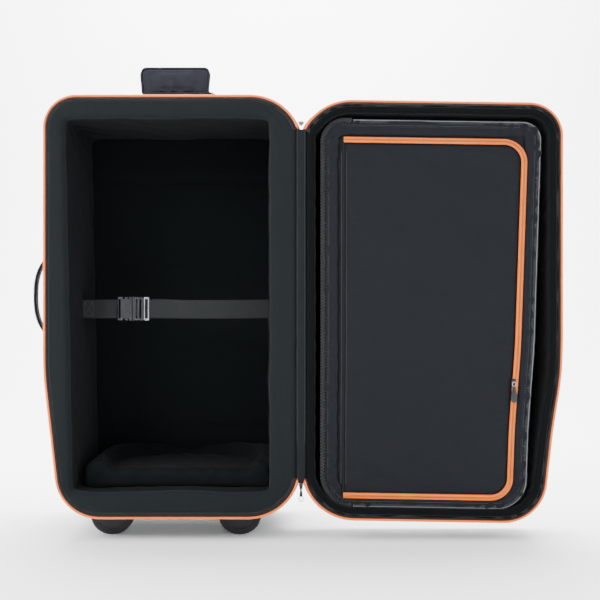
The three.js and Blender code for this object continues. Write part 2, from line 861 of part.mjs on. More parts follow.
const sideHandle = new THREE.Group();
sideHandle.position.set(-caseWidth - handleAxisHeight, handleDepth, caseBottom + sideHandleHeight);
sideHandle.rotation.y = -Math.PI / 2;
place(sideHandle, 'side_handle', makeHandle(sideHandleSpan, sideHandleRise), webbing());
place(sideHandle, 'side_handle_anchor_lower', makeHandleAnchor(-1, sideHandleSpan), blackPlastic());
place(sideHandle, 'side_handle_anchor_upper', makeHandleAnchor(1, sideHandleSpan), blackPlastic());
base.add(sideHandle);

['free', 'hinge'].forEach((end, i) => {
  const tubeX = trolleyXs[i];
  const outer = rectTube(outerTube, tubeX, outerTubeBottom, outerTubeTop);
  const stage = rectTube(stageTube, tubeX, outerTubeBottom + stageTubeRest, gripBottom - fit);
  place(base, `trolley_outer_tube_${end}`, outer, tubeMetal());
  place(base, `trolley_stage_tube_${end}`, stage, tubeMetal());
});
place(base, 'trolley_foot', boxBetween(
  baseCentre - trolleyFootHalf, baseCentre + trolleyFootHalf,
  trolleyY - outerTube.depth / 2, trolleyY + outerTube.depth / 2,
  trolleyFootBottom, trolleyFootBottom + trolleyFootHeight), blackPlastic());
place(base, 'trolley_bezel', makeBezel(), blackPlastic());
place(base, 'trolley_grip', makeGrip(), blackPlastic());
place(base, 'trolley_button', makeButton(), blackPlastic());

['free', 'hinge'].forEach((end, i) => {
  const footX = baseCentre + (i - 0.5) * footSpacing;
  const wheelX = wheelXs[i];
  const hubRadius = wheelRadius - tyreThickness;
  place(base, `front_foot_${end}`, makeFoot(footX), footRubber());
  place(base, `wheel_housing_${end}`, makeHousing(wheelX), blackPlastic());
  const tyre = wheelRing(wheelX, wheelRadius, hubRadius + fit / 2, wheelWidth);
  const hub = wheelRing(wheelX, hubRadius - fit / 2, axleRadius + fit, wheelWidth - 4);
  const axle = rodAlongX(
    wheelX - housingHalf + 1, wheelX + housingHalf - 1, wheelAxisY, wheelRadius, axleRadius, 20);
  place(base, `tyre_${end}`, tyre, tyreRubber());
  place(base, `wheel_hub_${end}`, hub, blackPlastic());
  place(base, `axle_${end}`, axle, tubeMetal());
});

const mainSlider = new THREE.Group();
mainSlider.position.set(0, 0, caseBottom + bottomNotchRise - sliderLength);
const mainSliderBody = place(
  mainSlider, 'main_zip_slider', makeSlider(sliderWidth, sliderLength, sliderThickness), zipMetal());
mainSliderBody.position.y = sliderThickness / 2;
const mainPull = place(mainSlider, 'main_zip_pull', makePull(pullLength), zipMetal());
mainPull.position.set(0, -sliderThickness / 2 - fit, 0);
base.add(mainSlider);
const stopHalf = stopSize / 2;
const stopBottom = caseTop - topNotchDrop + stopGap;
const stop = boxBetween(-stopHalf, stopHalf, -stopHalf, stopHalf, stopBottom, stopBottom + stopLength);
place(base, 'zip_top_stop', stop, zipMetal());

const lidShell = cut(
  slab(outline(lidSide, 0), shellFront, lidDepth),
  slab(outline(lidSide, skin), shellFront - 1, lidDepth - skin),
);
place(lid, 'lid_shell', lidShell, blackNylon());
const liningOuter = slab(outline(lidSide, pipingDiameter + 2 * fit), rimGap, lidBackInside - lidPad - fit);
const liningInner = slab(outline(lidSide, skin + fit + lidWall), rimGap - 1, lidDepth);
place(lid, 'lid_foam_walls', cut(liningOuter, liningInner), liningCloth());
const lidBack = slab(outline(lidSide, skin + fit), lidBackInside - lidPad, lidBackInside);
place(lid, 'lid_foam_back', lidBack, liningCloth());
place(lid, 'lid_piping', makePiping(lidSide), orangeTrim());
place(lid, 'lid_zipper_tape', makeZipperTape(lidSide), blackNylon());
place(lid, 'lid_hinge_leaf', makeHingeLeaf(lidSide), greyNylon());
place(lid, 'pocket_body', makePocketBody(), greyNylon());
place(lid, 'pocket_zipper', makePocketZip(), orangeTrim());
place(lid, 'pocket_flap', makePocketFlap(), greyNylon());

const [, zipLow, zipHigh] = pocketFrame(pocketZipInset, pocketZipTopInset, pocketZipBottomInset);
const zipShare = (pocketSliderHeight - (zipLow.y - caseBottom)) / (zipHigh.y - zipLow.y);
const pocketSlider = new THREE.Group();
pocketSlider.position.set(
  zipLow.x + (zipHigh.x - zipLow.x) * zipShare,
  pocketZipFront - fit,
  caseBottom + pocketSliderHeight,
);
const pocketSliderBody = makeSlider(sliderWidth, sliderLength, sliderThickness);
place(pocketSlider, 'pocket_zip_slider', pocketSliderBody, blackPlastic());
const pocketPull = place(pocketSlider, 'pocket_zip_pull', makePull(pocketPullLength), zipMetal());
pocketPull.position.set(0, -sliderThickness - fit, 0);
lid.add(pocketSlider);

// The origin is on the floor under the middle of the whole
carryCase.updateMatrixWorld(true);
const bounds = new THREE.Box3().setFromObject(carryCase, true);
carryCase.position.set(-(bounds.min.x + bounds.max.x) / 2, -(bounds.min.y + bounds.max.y) / 2, 0);

export default carryCase;
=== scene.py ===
import math

import bmesh
import bpy
import numpy as np
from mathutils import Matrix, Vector, noise


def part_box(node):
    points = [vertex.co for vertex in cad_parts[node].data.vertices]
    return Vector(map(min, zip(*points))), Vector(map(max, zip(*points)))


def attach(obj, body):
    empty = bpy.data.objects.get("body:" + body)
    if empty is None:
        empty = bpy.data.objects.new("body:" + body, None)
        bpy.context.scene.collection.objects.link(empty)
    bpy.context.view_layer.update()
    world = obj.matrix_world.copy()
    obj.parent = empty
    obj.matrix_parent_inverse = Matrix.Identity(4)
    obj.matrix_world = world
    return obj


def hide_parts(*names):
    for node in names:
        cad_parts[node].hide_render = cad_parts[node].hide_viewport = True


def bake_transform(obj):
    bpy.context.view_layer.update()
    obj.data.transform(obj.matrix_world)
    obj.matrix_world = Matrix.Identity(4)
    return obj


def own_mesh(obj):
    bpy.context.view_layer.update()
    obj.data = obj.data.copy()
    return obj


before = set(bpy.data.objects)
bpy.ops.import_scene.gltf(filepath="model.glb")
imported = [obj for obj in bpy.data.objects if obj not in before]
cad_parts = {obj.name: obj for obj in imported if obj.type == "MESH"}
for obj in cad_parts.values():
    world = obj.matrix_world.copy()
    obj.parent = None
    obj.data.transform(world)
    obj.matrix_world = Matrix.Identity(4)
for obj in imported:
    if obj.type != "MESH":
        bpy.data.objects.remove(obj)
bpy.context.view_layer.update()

# ---- Dimensions of the case, in metres, as in the CAD source ----

CASE_WIDTH, CASE_HEIGHT, CASE_BOTTOM = 0.505, 0.831, 0.044
CASE_TOP = CASE_BOTTOM + CASE_HEIGHT
TAPER_HEIGHT, TAPER_INSET, TAPER_RADIUS = 0.286, 0.032, 0.6
FREE_TOP_RADIUS, FREE_BOTTOM_RADIUS, NOTCH_RADIUS = 0.065, 0.088, 0.105
TOP_NOTCH_DROP, BOTTOM_NOTCH_RISE = 0.067, 0.080
HINGE_GAP, BASE_DEPTH, LID_DEPTH, SHELL_FRONT = 0.0015, 0.300, 0.130, 0.0082
TAPER_LEAN = math.atan2(TAPER_INSET, TAPER_HEIGHT)
BASE, LID = -1, 1

leaf_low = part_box("base_hinge_leaf")[1]
leaf_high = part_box("lid_hinge_leaf")[0]
HINGE_X = (leaf_low.x + leaf_high.x) / 2
RIM_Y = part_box("base_piping")[0].y - 0.0018


# ---- Small maths, for numbers or arrays ----

def smooth(low, high, value):
    t = np.clip((np.asarray(value, float) - low) / (high - low), 0, 1)
    return t * t * (3 - 2 * t)


def bump(value, centre, width):
    return np.exp(-(((np.asarray(value, float) - centre) / width) ** 2))


def fractal(points, scale, seed, octaves=3):
    """Smooth random numbers from about -1 to 1 at points in metres, with features of the given size."""
    shift = Vector((seed * 13.7, seed * 7.3, seed * 3.1))
    found = [noise.fractal(Vector(p) / scale + shift, 0.8, 2.1, octaves) for p in points]
    return np.array(found)


def folds(points, direction, pitch, seed, waver=0.35):
    """Parallel wrinkles across a direction, from -1 to 1, bent by noise."""
    d = np.asarray(direction, float) / np.linalg.norm(direction)
    along = points @ d / pitch
    return np.sin(2 * math.pi * (along + waver * fractal(points, pitch * 3.2, seed, 2)))


# ---- The outline that the base and the lid share ----

def arc(centre, radius, start, end, step=0.06):
    count = max(2, math.ceil(abs(end - start) / step))
    angles = np.linspace(start, end, count + 1)
    return [(centre[0] + radius * math.cos(a), centre[1] + radius * math.sin(a)) for a in angles]


def corner(before, at, after, radius, step=0.06):
    before, at, after = (np.array(p, float) for p in (before, at, after))
    back = (before - at) / np.linalg.norm(before - at)
    ahead = (after - at) / np.linalg.norm(after - at)
    half = math.acos(float(back @ ahead)) / 2
    middle = (back + ahead) / np.linalg.norm(back + ahead)
    centre = at + middle * radius / math.sin(half)
    start = at + back * radius / math.tan(half) - centre
    end = at + ahead * radius / math.tan(half) - centre
    a, b = math.atan2(start[1], start[0]), math.atan2(end[1], end[0])
    if b - a > math.pi:
        b -= 2 * math.pi
    if a - b > math.pi:
        b += 2 * math.pi
    return arc(centre, radius, a, b, step)


def even(points, spacing, closed=False):
    """The same line with evenly spaced points."""
    line = np.array(points, float)
    if closed:
        line = np.vstack([line, line[:1]])
    steps = np.linalg.norm(np.diff(line, axis=0), axis=1)
    keep = np.concatenate([[True], steps > 1e-7])
    line = line[keep]
    length = np.concatenate([[0], np.cumsum(np.linalg.norm(np.diff(line, axis=0), axis=1))])
    count = max(3, int(round(length[-1] / spacing)))
    at = np.linspace(0, length[-1], count + 1)
    if closed:
        at = at[:-1]
    return np.stack([np.interp(at, length, line[:, k]) for k in range(line.shape[1])], 1)


def outline(inset=0.0):
    """(u, z) points from the lower notch round the free side to the upper notch, inset inside the face."""
    hinge_side, bottom, top = HINGE_GAP + inset, CASE_BOTTOM + inset, CASE_TOP - inset
    free = CASE_WIDTH - inset
    free_bottom = (CASE_WIDTH - TAPER_INSET - inset / math.cos(TAPER_LEAN) + inset * math.tan(TAPER_LEAN))
    taper_start = CASE_BOTTOM + TAPER_HEIGHT - inset * math.tan(TAPER_LEAN / 2)
    low_u = HINGE_GAP + math.sqrt(BOTTOM_NOTCH_RISE * (2 * NOTCH_RADIUS - BOTTOM_NOTCH_RISE))
    high_u = HINGE_GAP + math.sqrt(TOP_NOTCH_DROP * (2 * NOTCH_RADIUS - TOP_NOTCH_DROP))
    radius = NOTCH_RADIUS - inset
    low_swing = math.acos(max(-1, min(1, (low_u - hinge_side) / radius)))
    high_swing = math.acos(max(-1, min(1, (high_u - hinge_side) / radius)))
    low_corner, taper_corner, top_corner = (free_bottom, bottom), (free, taper_start), (free, top)
    low_centre, high_centre = (low_u, CASE_BOTTOM + NOTCH_RADIUS), (high_u, CASE_TOP - NOTCH_RADIUS)
    return (
        arc(low_centre, radius, math.pi + low_swing, 1.5 * math.pi)
        + corner((low_u, bottom), low_corner, taper_corner, max(FREE_BOTTOM_RADIUS - inset, 0.004))
        + corner(low_corner, taper_corner, top_corner, TAPER_RADIUS - inset, 0.02)
        + corner(taper_corner, top_corner, (high_u, top), max(FREE_TOP_RADIUS - inset, 0.004))
        + arc(high_centre, radius, 0.5 * math.pi, math.pi - high_swing)
    )


def normals_of(line, closed):
    """Outward unit normals of an anticlockwise line of (u, z) points."""
    if closed:
        tangent = np.roll(line, -1, 0) - np.roll(line, 1, 0)
    else:
        tangent = np.gradient(line, axis=0)
    tangent /= np.linalg.norm(tangent, axis=1)[:, None]
    return np.stack([tangent[:, 1], -tangent[:, 0]], 1)


def span_at(inset, heights):
    """Lowest and highest u of the outline at each height."""
    line = even(outline(inset), 0.002)
    apex = int(np.argmax(line[:, 0]))
    heights = np.asarray(heights, float)
    low, high = line[: apex + 1], line[apex:]
    bottom = int(np.argmin(low[:, 1]))
    top = int(np.argmax(high[:, 1]))
    right_low = np.vstack([low[bottom:], high[: top + 1]])
    order = np.argsort(right_low[:, 1], kind="stable")
    high_u = np.interp(heights, right_low[order, 1], right_low[order, 0])
    low_u = np.full(len(heights), HINGE_GAP + inset)
    notch_low, notch_high = low[: bottom + 1][::-1], high[top:]
    below = heights < notch_low[-1, 1]
    low_u[below] = np.interp(heights[below], notch_low[:, 1], notch_low[:, 0])
    above = heights > notch_high[-1, 1]
    reverse = notch_high[::-1]
    low_u[above] = np.interp(heights[above], reverse[:, 1], reverse[:, 0])
    return low_u, high_u


# ---- The soft hang of the open lid ----

LID_DROP_AT_HINGE, LID_DROP_AT_FREE_SIDE, LID_SPREAD = 0.0085, 0.0085, 0.008


def lid_hang(u, z):
    """How far the open lid's cloth is pulled, in u and z: it hangs lower and spreads at the free side."""
    share, up = u / CASE_WIDTH, (z - CASE_BOTTOM) / CASE_HEIGHT
    down = (1 - up) * (0.001 + LID_DROP_AT_FREE_SIDE * share) + up * (LID_DROP_AT_HINGE + 0.0075 * share)
    settle = smooth(0, 0.03, u)
    return LID_SPREAD * share * smooth(0.2, 0.42, z), -down * (0.35 + 0.65 * settle)


def place(side, u, v, z):
    """World points for arrays of u, v and z."""
    u, v, z = np.broadcast_arrays(np.asarray(u, float), np.asarray(v, float), np.asarray(z, float))
    if side == LID:
        du, dz = lid_hang(u, z)
        u, z = u + du, z + dz
    return np.stack([HINGE_X + side * u, RIM_Y + v, z], -1)


# ---- Mesh building ----

def new_mesh(name, points, faces, material, uvs):
    mesh = bpy.data.meshes.new(name)
    mesh.from_pydata([tuple(p) for p in points], [], [tuple(f) for f in faces])
    layer = mesh.uv_layers.new(name="UVMap")
    layer.data.foreach_set("uv", np.asarray(uvs, np.float32).ravel())
    mesh.materials.append(material)
    mesh.polygons.foreach_set("use_smooth", [True] * len(mesh.polygons))
    mesh.validate()
    piece = bpy.data.objects.new(name, mesh)
    bpy.context.scene.collection.objects.link(piece)
    return piece


def grid(name, points, material, close_rows=False, close_cols=False, flip=False, caps=False):
    """A sheet of quads through points[row, column]; UVs are metres along each way."""
    rows, cols = points.shape[:2]
    flat = points.reshape(-1, 3)
    along = np.concatenate([[0], np.cumsum(np.linalg.norm(np.diff(points, axis=0), axis=2).mean(1))])
    across = np.concatenate([[0], np.cumsum(np.linalg.norm(np.diff(points, axis=1), axis=2).mean(0))])
    row_last = along[-1] + np.linalg.norm(points[0] - points[-1], axis=1).mean()
    col_last = across[-1] + np.linalg.norm(points[:, 0] - points[:, -1], axis=1).mean()
    faces, uvs = [], []
    for i in range(rows if close_rows else rows - 1):
        for j in range(cols if close_cols else cols - 1):
            a, b = (i + 1) % rows, (j + 1) % cols
            r0, r1 = along[i], along[i + 1] if i + 1 < rows else row_last
            c0, c1 = across[j], across[j + 1] if j + 1 < cols else col_last
            quad = [(i * cols + j, r0, c0), (a * cols + j, r1, c0), (a * cols + b, r1, c1),
                    (i * cols + b, r0, c1)]
            if flip:
                quad.reverse()
            faces.append([q[0] for q in quad])
            uvs.extend((q[1], q[2]) for q in quad)
    if caps:
        ends = [list(range(cols)), list(range((rows - 1) * cols, rows * cols))[::-1]]
        for end in ends:
            faces.append(end[::-1] if flip else end)
            uvs.extend((0.0, 0.0) for _ in end)
    return new_mesh(name, flat, faces, material, uvs)


def fix_normals(piece):
    made = bmesh.new()
    made.from_mesh(piece.data)
    bmesh.ops.recalc_face_normals(made, faces=made.faces)
    made.to_mesh(piece.data)
    made.free()
    return piece


def tube(name, path, radius, material, sides=10, closed=False, up=(0, 1, 0), flat=1.0, power=2.0):
    """A cord or band along a path. flat scales the section along up; power above 2 squares the section."""
    path = np.asarray(path, float)
    tangent = (np.roll(path, -1, 0) - np.roll(path, 1, 0)) if closed else np.gradient(path, axis=0)
    tangent /= np.linalg.norm(tangent, axis=1)[:, None]
    up = np.broadcast_to(np.asarray(up, float), path.shape)
    side = np.cross(tangent, up)
    side /= np.linalg.norm(side, axis=1)[:, None]
    over = np.cross(side, tangent)
    radius = np.broadcast_to(np.asarray(radius, float), (len(path),))
    angles = np.arange(sides) * 2 * math.pi / sides
    c, s = np.cos(angles), np.sin(angles)
    c = np.sign(c) * np.abs(c) ** (2 / power)
    s = np.sign(s) * np.abs(s) ** (2 / power) * flat
    section = side[:, None] * c[None, :, None] + over[:, None] * s[None, :, None]
    points = path[:, None] + radius[:, None, None] * section
    return fix_normals(grid(name, points, material, close_rows=closed, close_cols=True, caps=not closed))


def add_modifier(piece, kind, **settings):
    modifier = piece.modifiers.new(kind.lower(), kind)
    for key, value in settings.items():
        setattr(modifier, key, value)
    return modifier


def settle_modifiers(piece):
    """Replaces the piece's mesh by what its modifiers make of it."""
    bpy.context.view_layer.update()
    graph = bpy.context.evaluated_depsgraph_get()
    made = bpy.data.meshes.new_from_object(piece.evaluated_get(graph), depsgraph=graph)
    piece.modifiers.clear()
    old = piece.data
    piece.data = made
    made.name = piece.name
    bpy.data.meshes.remove(old)
    made.polygons.foreach_set("use_smooth", [True] * len(made.polygons))
    return piece


def thicken(piece, thickness):
    """Gives an open sheet its thickness, inwards from its outer face."""
    add_modifier(piece, "SOLIDIFY", thickness=thickness, offset=-1.0)
    return settle_modifiers(piece)


def subdivide(piece):
    add_modifier(piece, "SUBSURF", levels=1, render_levels=1)
    return settle_modifiers(piece)


def face_front(sheet):
    """Turns an open sheet so that it looks forwards."""
    if sheet.data.polygons[0].normal.y > 0:
        sheet.data.flip_normals()
    return sheet


def close_holes(piece):
    """Fills the open ends of a skin and faces it outwards."""
    made = bmesh.new()
    made.from_mesh(piece.data)
    bmesh.ops.holes_fill(made, edges=[e for e in made.edges if e.is_boundary], sides=0)
    bmesh.ops.triangulate(made, faces=[f for f in made.faces if len(f.verts) > 4])
    made.to_mesh(piece.data)
    made.free()
    return fix_normals(piece)


def box_of(node_name):
    """The lower and upper corner of a CAD node, as arrays."""
    low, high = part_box(node_name)
    return np.array(low), np.array(high)


def cube(low, high):
    """A plain box between two corners, as an open bmesh to work on."""
    low, high = np.asarray(low, float), np.asarray(high, float)
    made = bmesh.new()
    bmesh.ops.create_cube(made, size=1)
    for vertex in made.verts:
        vertex.co = Vector((low + high) / 2 + np.array(vertex.co) * (high - low))
    return made


def link_mesh(name, made):
    """Turns a bmesh into a new object."""
    mesh = bpy.data.meshes.new(name)
    made.to_mesh(mesh)
    made.free()
    piece = bpy.data.objects.new(name, mesh)
    bpy.context.scene.collection.objects.link(piece)
    return piece


def crisp(piece, degrees=40):
    """Smooth shading with sharp edges where faces meet at more than an angle."""
    piece.data.polygons.foreach_set("use_smooth", [True] * len(piece.data.polygons))
    piece.data.set_sharp_from_angle(angle=math.radians(degrees))
    return piece


def oval(count, wide=1.0, tall=1.0):
    """Points (c, s) round a unit circle; powers below 1 square it off sideways and upwards."""
    for angle in np.arange(count) * 2 * math.pi / count:
        c, s = math.cos(angle), math.sin(angle)
        yield np.sign(c) * abs(c) ** wide, np.sign(s) * abs(s) ** tall


def block(name, low, high, material, radius=0.001, segments=3, cuts=None):
    """A moulded block with rounded edges, between two corners."""
    made = cube(low, high)
    radius = min(radius, 0.49 * float((np.asarray(high, float) - np.asarray(low, float)).min()))
    bmesh.ops.bevel(made, geom=made.edges[:], offset=radius, segments=segments, profile=0.5, affect="EDGES")
    piece = link_mesh(name, made)
    piece.data.materials.append(material)
    if cuts:
        carve(piece, cuts)
    return crisp(piece)


def carve(piece, boxes):
    """Cuts (low, high) boxes out of a closed piece."""
    fix_normals(piece)
    for low, high in boxes:
        cutter = link_mesh("cutter", cube(low, high))
        add_modifier(piece, "BOOLEAN", operation="DIFFERENCE", object=cutter, solver="EXACT")
        settle_modifiers(piece)
        bpy.data.objects.remove(cutter)
    return piece


def join(name, pieces):
    """Joins pieces into one, keeping each one's material."""
    made = bmesh.new()
    target = bpy.data.meshes.new(name)
    materials = []
    for piece in pieces:
        start = len(made.faces)
        made.from_mesh(piece.data)
        made.faces.ensure_lookup_table()
        slots = []
        for material in piece.data.materials:
            if material not in materials:
                materials.append(material)
            slots.append(materials.index(material))
        for face in made.faces[start:]:
            face.material_index = slots[face.material_index] if slots else 0
    made.to_mesh(target)
    made.free()
    for material in materials:
        target.materials.append(material)
    for piece in pieces:
        old = piece.data
        bpy.data.objects.remove(piece)
        bpy.data.meshes.remove(old)
    joined = bpy.data.objects.new(name, target)
    bpy.context.scene.collection.objects.link(joined)
    return joined


def finish_piece(piece, body, replaces=()):
    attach(piece, body)
    if replaces:
        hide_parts(*replaces)
    return piece


# ---- Cloth: blow a closed shape up a little so that its cover crowns and puckers ----

PRESSURE, CLOTH_FRAMES = 4.0, 20


def inflate(piece, voxel, cap):
    """Remeshes a closed piece, blows it up as cloth and keeps at most cap metres of movement."""
    add_modifier(piece, "REMESH", mode="VOXEL", voxel_size=voxel, use_smooth_shade=True)
    settle_modifiers(piece)
    rest = np.array([v.co for v in piece.data.vertices])
    cloth = add_modifier(piece, "CLOTH")
    settings = cloth.settings
    settings.use_pressure = True
    settings.uniform_pressure_force = PRESSURE
    settings.effector_weights.gravity = 0
    settings.quality = 4
    settings.mass = 0.3
    settings.tension_stiffness = settings.compression_stiffness = 20
    settings.bending_stiffness = 0.8
    settings.shrink_min = -0.012
    cloth.collision_settings.use_collision = False
    scene = bpy.context.scene
    scene.frame_start, scene.frame_end = 1, CLOTH_FRAMES
    cloth.point_cache.frame_start, cloth.point_cache.frame_end = 1, CLOTH_FRAMES
    for number in range(1, CLOTH_FRAMES + 1):
        scene.frame_set(number)
    graph = bpy.context.evaluated_depsgraph_get()
    evaluated = piece.evaluated_get(graph)
    moved = np.array([v.co for v in evaluated.data.vertices])
    piece.modifiers.clear()
    scene.frame_set(1)
    shift = moved - rest
    size = np.linalg.norm(shift, axis=1)
    shift *= np.minimum(1, cap / np.maximum(size, 1e-9))[:, None]
    piece.data.vertices.foreach_set("co", (rest + shift).astype(np.float32).ravel())
    return subdivide(piece)


# ---- Materials ----

def linear(red, green, blue):
    """A colour given as 0 to 255 display values, made linear."""
    found = []
    for value in (red, green, blue):
        c = value / 255
        found.append(c / 12.92 if c <= 0.04045 else ((c + 0.055) / 1.055) ** 2.4)
    return (*found, 1.0)


class Look:
    """A node material, built one node at a time."""

    def __init__(self, name, roughness=0.8, **sockets):
        self.material = bpy.data.materials.new(name)
        self.material.use_nodes = True
        self.tree = self.material.node_tree
        self.tree.nodes.clear()
        self.shader = self.tree.nodes.new("ShaderNodeBsdfPrincipled")
        output = self.tree.nodes.new("ShaderNodeOutputMaterial")
        self.tree.links.new(self.shader.outputs[0], output.inputs[0])
        self.shader.inputs["Roughness"].default_value = roughness
        for key, value in sockets.items():
            self.shader.inputs[key.replace("_", " ")].default_value = value
        self.place = self.node("ShaderNodeTexCoord").outputs["Object"]
        self.along = self.tree.nodes[-1].outputs["UV"]

    def node(self, kind, **settings):
        made = self.tree.nodes.new(kind)
        for key, value in settings.items():
            setattr(made, key, value)
        return made

    def link(self, source, target):
        self.tree.links.new(source, target)

    def maths(self, operation, a, b=None, c=None, clamp=False):
        made = self.node("ShaderNodeMath", operation=operation, use_clamp=clamp)
        for socket, value in zip(made.inputs, (a, b, c)):
            if value is None:
                continue
            if isinstance(value, (int, float)):
                socket.default_value = value
            else:
                self.link(value, socket)
        return made.outputs[0]

    def noise(self, size, detail=3.0, roughness=0.55, stretch=(1, 1, 1)):
        """Noise with features of about that size in metres."""
        mapping = self.node("ShaderNodeMapping")
        mapping.inputs["Scale"].default_value = [s / size for s in stretch]
        self.link(self.place, mapping.inputs[0])
        made = self.node("ShaderNodeTexNoise")
        made.inputs["Scale"].default_value = 1.0
        made.inputs["Detail"].default_value = detail
        made.inputs["Roughness"].default_value = roughness
        self.link(mapping.outputs[0], made.inputs["Vector"])
        return made.outputs["Fac"]

    def ramp(self, value, *stops):
        """Colours at positions, as (position, colour)."""
        made = self.node("ShaderNodeValToRGB")
        ramp = made.color_ramp
        ramp.elements[0].position, ramp.elements[0].color = stops[0]
        ramp.elements[1].position, ramp.elements[1].color = stops[-1]
        for position, colour in stops[1:-1]:
            element = ramp.elements.new(position)
            element.color = colour
        self.link(value, made.inputs[0])
        return made.outputs[0]

    def blend(self, share, a, b):
        """Mixes colour b into colour a by a share."""
        made = self.node("ShaderNodeMix", data_type="RGBA", blend_type="MIX")
        for socket, value in ((made.inputs[0], share), (made.inputs[6], a), (made.inputs[7], b)):
            if isinstance(value, (int, float, tuple)):
                socket.default_value = value
            else:
                self.link(value, socket)
        return made.outputs[2]

    def waves(self, pitch):
        """Sines along x, y and z, with that pitch in metres."""
        split = self.node("ShaderNodeSeparateXYZ")
        self.link(self.place, split.inputs[0])
        rate = 2 * math.pi / pitch
        return [self.maths("SINE", self.maths("MULTIPLY", out, rate)) for out in split.outputs]

    def weave(self, pitch):
        """A plain weave on faces that look any way, from about -1 to 1."""
        x, y, z = self.waves(pitch)
        pairs = [self.maths("MULTIPLY", a, b) for a, b in ((x, z), (y, z), (x, y))]
        return self.maths("ADD", self.maths("ADD", pairs[0], pairs[1]), pairs[2])

    def colour(self, value):
        self.link(value, self.shader.inputs["Base Color"])

    def rough(self, value, low, high):
        mapped = self.node("ShaderNodeMapRange")
        mapped.inputs[3].default_value, mapped.inputs[4].default_value = low, high
        self.link(value, mapped.inputs[0])
        self.link(mapped.outputs[0], self.shader.inputs["Roughness"])

    def bumps(self, *layers):
        """Bump layers as (height, strength, distance in metres)."""
        last = None
        for height, strength, distance in layers:
            made = self.node("ShaderNodeBump")
            made.inputs["Strength"].default_value = strength
            made.inputs["Distance"].default_value = distance
            self.link(height, made.inputs["Height"])
            if last is not None:
                self.link(last, made.inputs["Normal"])
            last = made.outputs[0]
        self.link(last, self.shader.inputs["Normal"])


BLACK, WHITE = (0, 0, 0, 1), (1, 1, 1, 1)


def shade_of(colour, factor):
    return tuple(min(1.0, c * factor) for c in colour[:3]) + (1.0,)


def cloth_look(name, rgb, pitch=0.0016, creases=0.02, crease_depth=0.0012, lint=0.5, sheen=0.06,
               specular=0.12):
    """Coated nylon pack cloth: a basket weave, mottling, fine creases, lint and rubbed patches."""
    look = Look(name, Sheen_Weight=sheen, Sheen_Roughness=0.45, Specular_IOR_Level=specular)
    base = linear(*rgb)
    weave = look.weave(pitch)
    weave_share = look.maths("MULTIPLY_ADD", weave, 0.5, 0.5, clamp=True)
    threads = look.ramp(weave_share, (0.15, shade_of(base, 0.62)), (0.85, shade_of(base, 1.28)))
    mottle = look.noise(0.055, 4.0, 0.6)
    worn = look.ramp(mottle, (0.36, shade_of(base, 0.78)), (0.52, base), (0.72, shade_of(base, 1.35)))
    body = look.blend(0.5, threads, worn)
    slub = look.noise(0.012, 2.0, 0.6, stretch=(1, 1, 6))
    body = look.blend(look.maths("MULTIPLY", slub, 0.6), body, shade_of(base, 1.7))
    specks = look.ramp(look.noise(0.0016, 1.0, 0.5), (0.73, BLACK), (0.78, WHITE))
    patches = look.ramp(look.noise(0.09, 2.0), (0.5, BLACK), (0.7, WHITE))
    dust = look.maths("MULTIPLY", look.maths("MULTIPLY", specks, patches), 0.35 * lint)
    look.colour(look.blend(dust, body, linear(105, 105, 108)))
    look.rough(mottle, 0.72, 0.95)
    crease = look.noise(creases, 3.0, 0.6, stretch=(1, 1, 0.6))
    look.bumps((crease, 0.55, crease_depth), (slub, 0.2, 0.0003), (weave_share, 0.5, pitch * 0.22))
    return look.material


def webbing_look(name, rgb, rib=0.0021):
    """Woven strap: herringbone ribs along the strap, with paler crowns and worn patches."""
    look = Look(name, Sheen_Weight=0.08, Sheen_Roughness=0.4, Specular_IOR_Level=0.3)
    base = linear(*rgb)
    split = look.node("ShaderNodeSeparateXYZ")
    look.link(look.along, split.inputs[0])
    zigzag = look.maths("PINGPONG", split.outputs[1], rib * 2)
    rate = 2 * math.pi / rib
    rows = look.maths("SINE", look.maths("MULTIPLY", look.maths("ADD", split.outputs[0], zigzag), rate))
    cord = look.maths("SINE", look.maths("MULTIPLY", split.outputs[1], rate))
    ribs = look.maths("MULTIPLY_ADD", look.maths("ADD", rows, cord), 0.25, 0.5, clamp=True)
    wear = look.noise(0.02, 4.0, 0.65)
    threads = look.ramp(ribs, (0.1, shade_of(base, 0.5)), (0.9, shade_of(base, 1.45)))
    worn = look.ramp(wear, (0.4, shade_of(base, 0.8)), (0.68, shade_of(base, 1.5)))
    look.colour(look.blend(0.45, threads, worn))
    look.rough(wear, 0.6, 0.85)
    look.bumps((wear, 0.2, 0.0008), (ribs, 0.7, 0.0004))
    return look.material


def trim_look(name, rgb, rib=0.0022, dark=0.72):
    """Bright woven trim: slanting ribs, a little grime and paler crowns."""
    look = Look(name, Sheen_Weight=0.08, Sheen_Roughness=0.4, Specular_IOR_Level=0.3)
    base = linear(*rgb)
    split = look.node("ShaderNodeSeparateXYZ")
    look.link(look.along, split.inputs[0])
    slant = look.maths("ADD", split.outputs[0], look.maths("MULTIPLY", split.outputs[1], 0.8))
    wave = look.maths("SINE", look.maths("MULTIPLY", slant, 2 * math.pi / rib))
    ribs = look.maths("MULTIPLY_ADD", wave, 0.5, 0.5)
    grime = look.noise(0.05, 4.0, 0.6)
    threads = look.ramp(ribs, (0.0, shade_of(base, dark)), (1.0, shade_of(base, 1.12)))
    soiled = look.ramp(grime, (0.35, shade_of(base, 0.8)), (0.6, shade_of(base, 1.05)))
    look.colour(look.blend(0.45, threads, soiled))
    look.rough(grime, 0.55, 0.8)
    look.bumps((grime, 0.25, 0.0008), (ribs, 0.6, 0.0004))
    return look.material


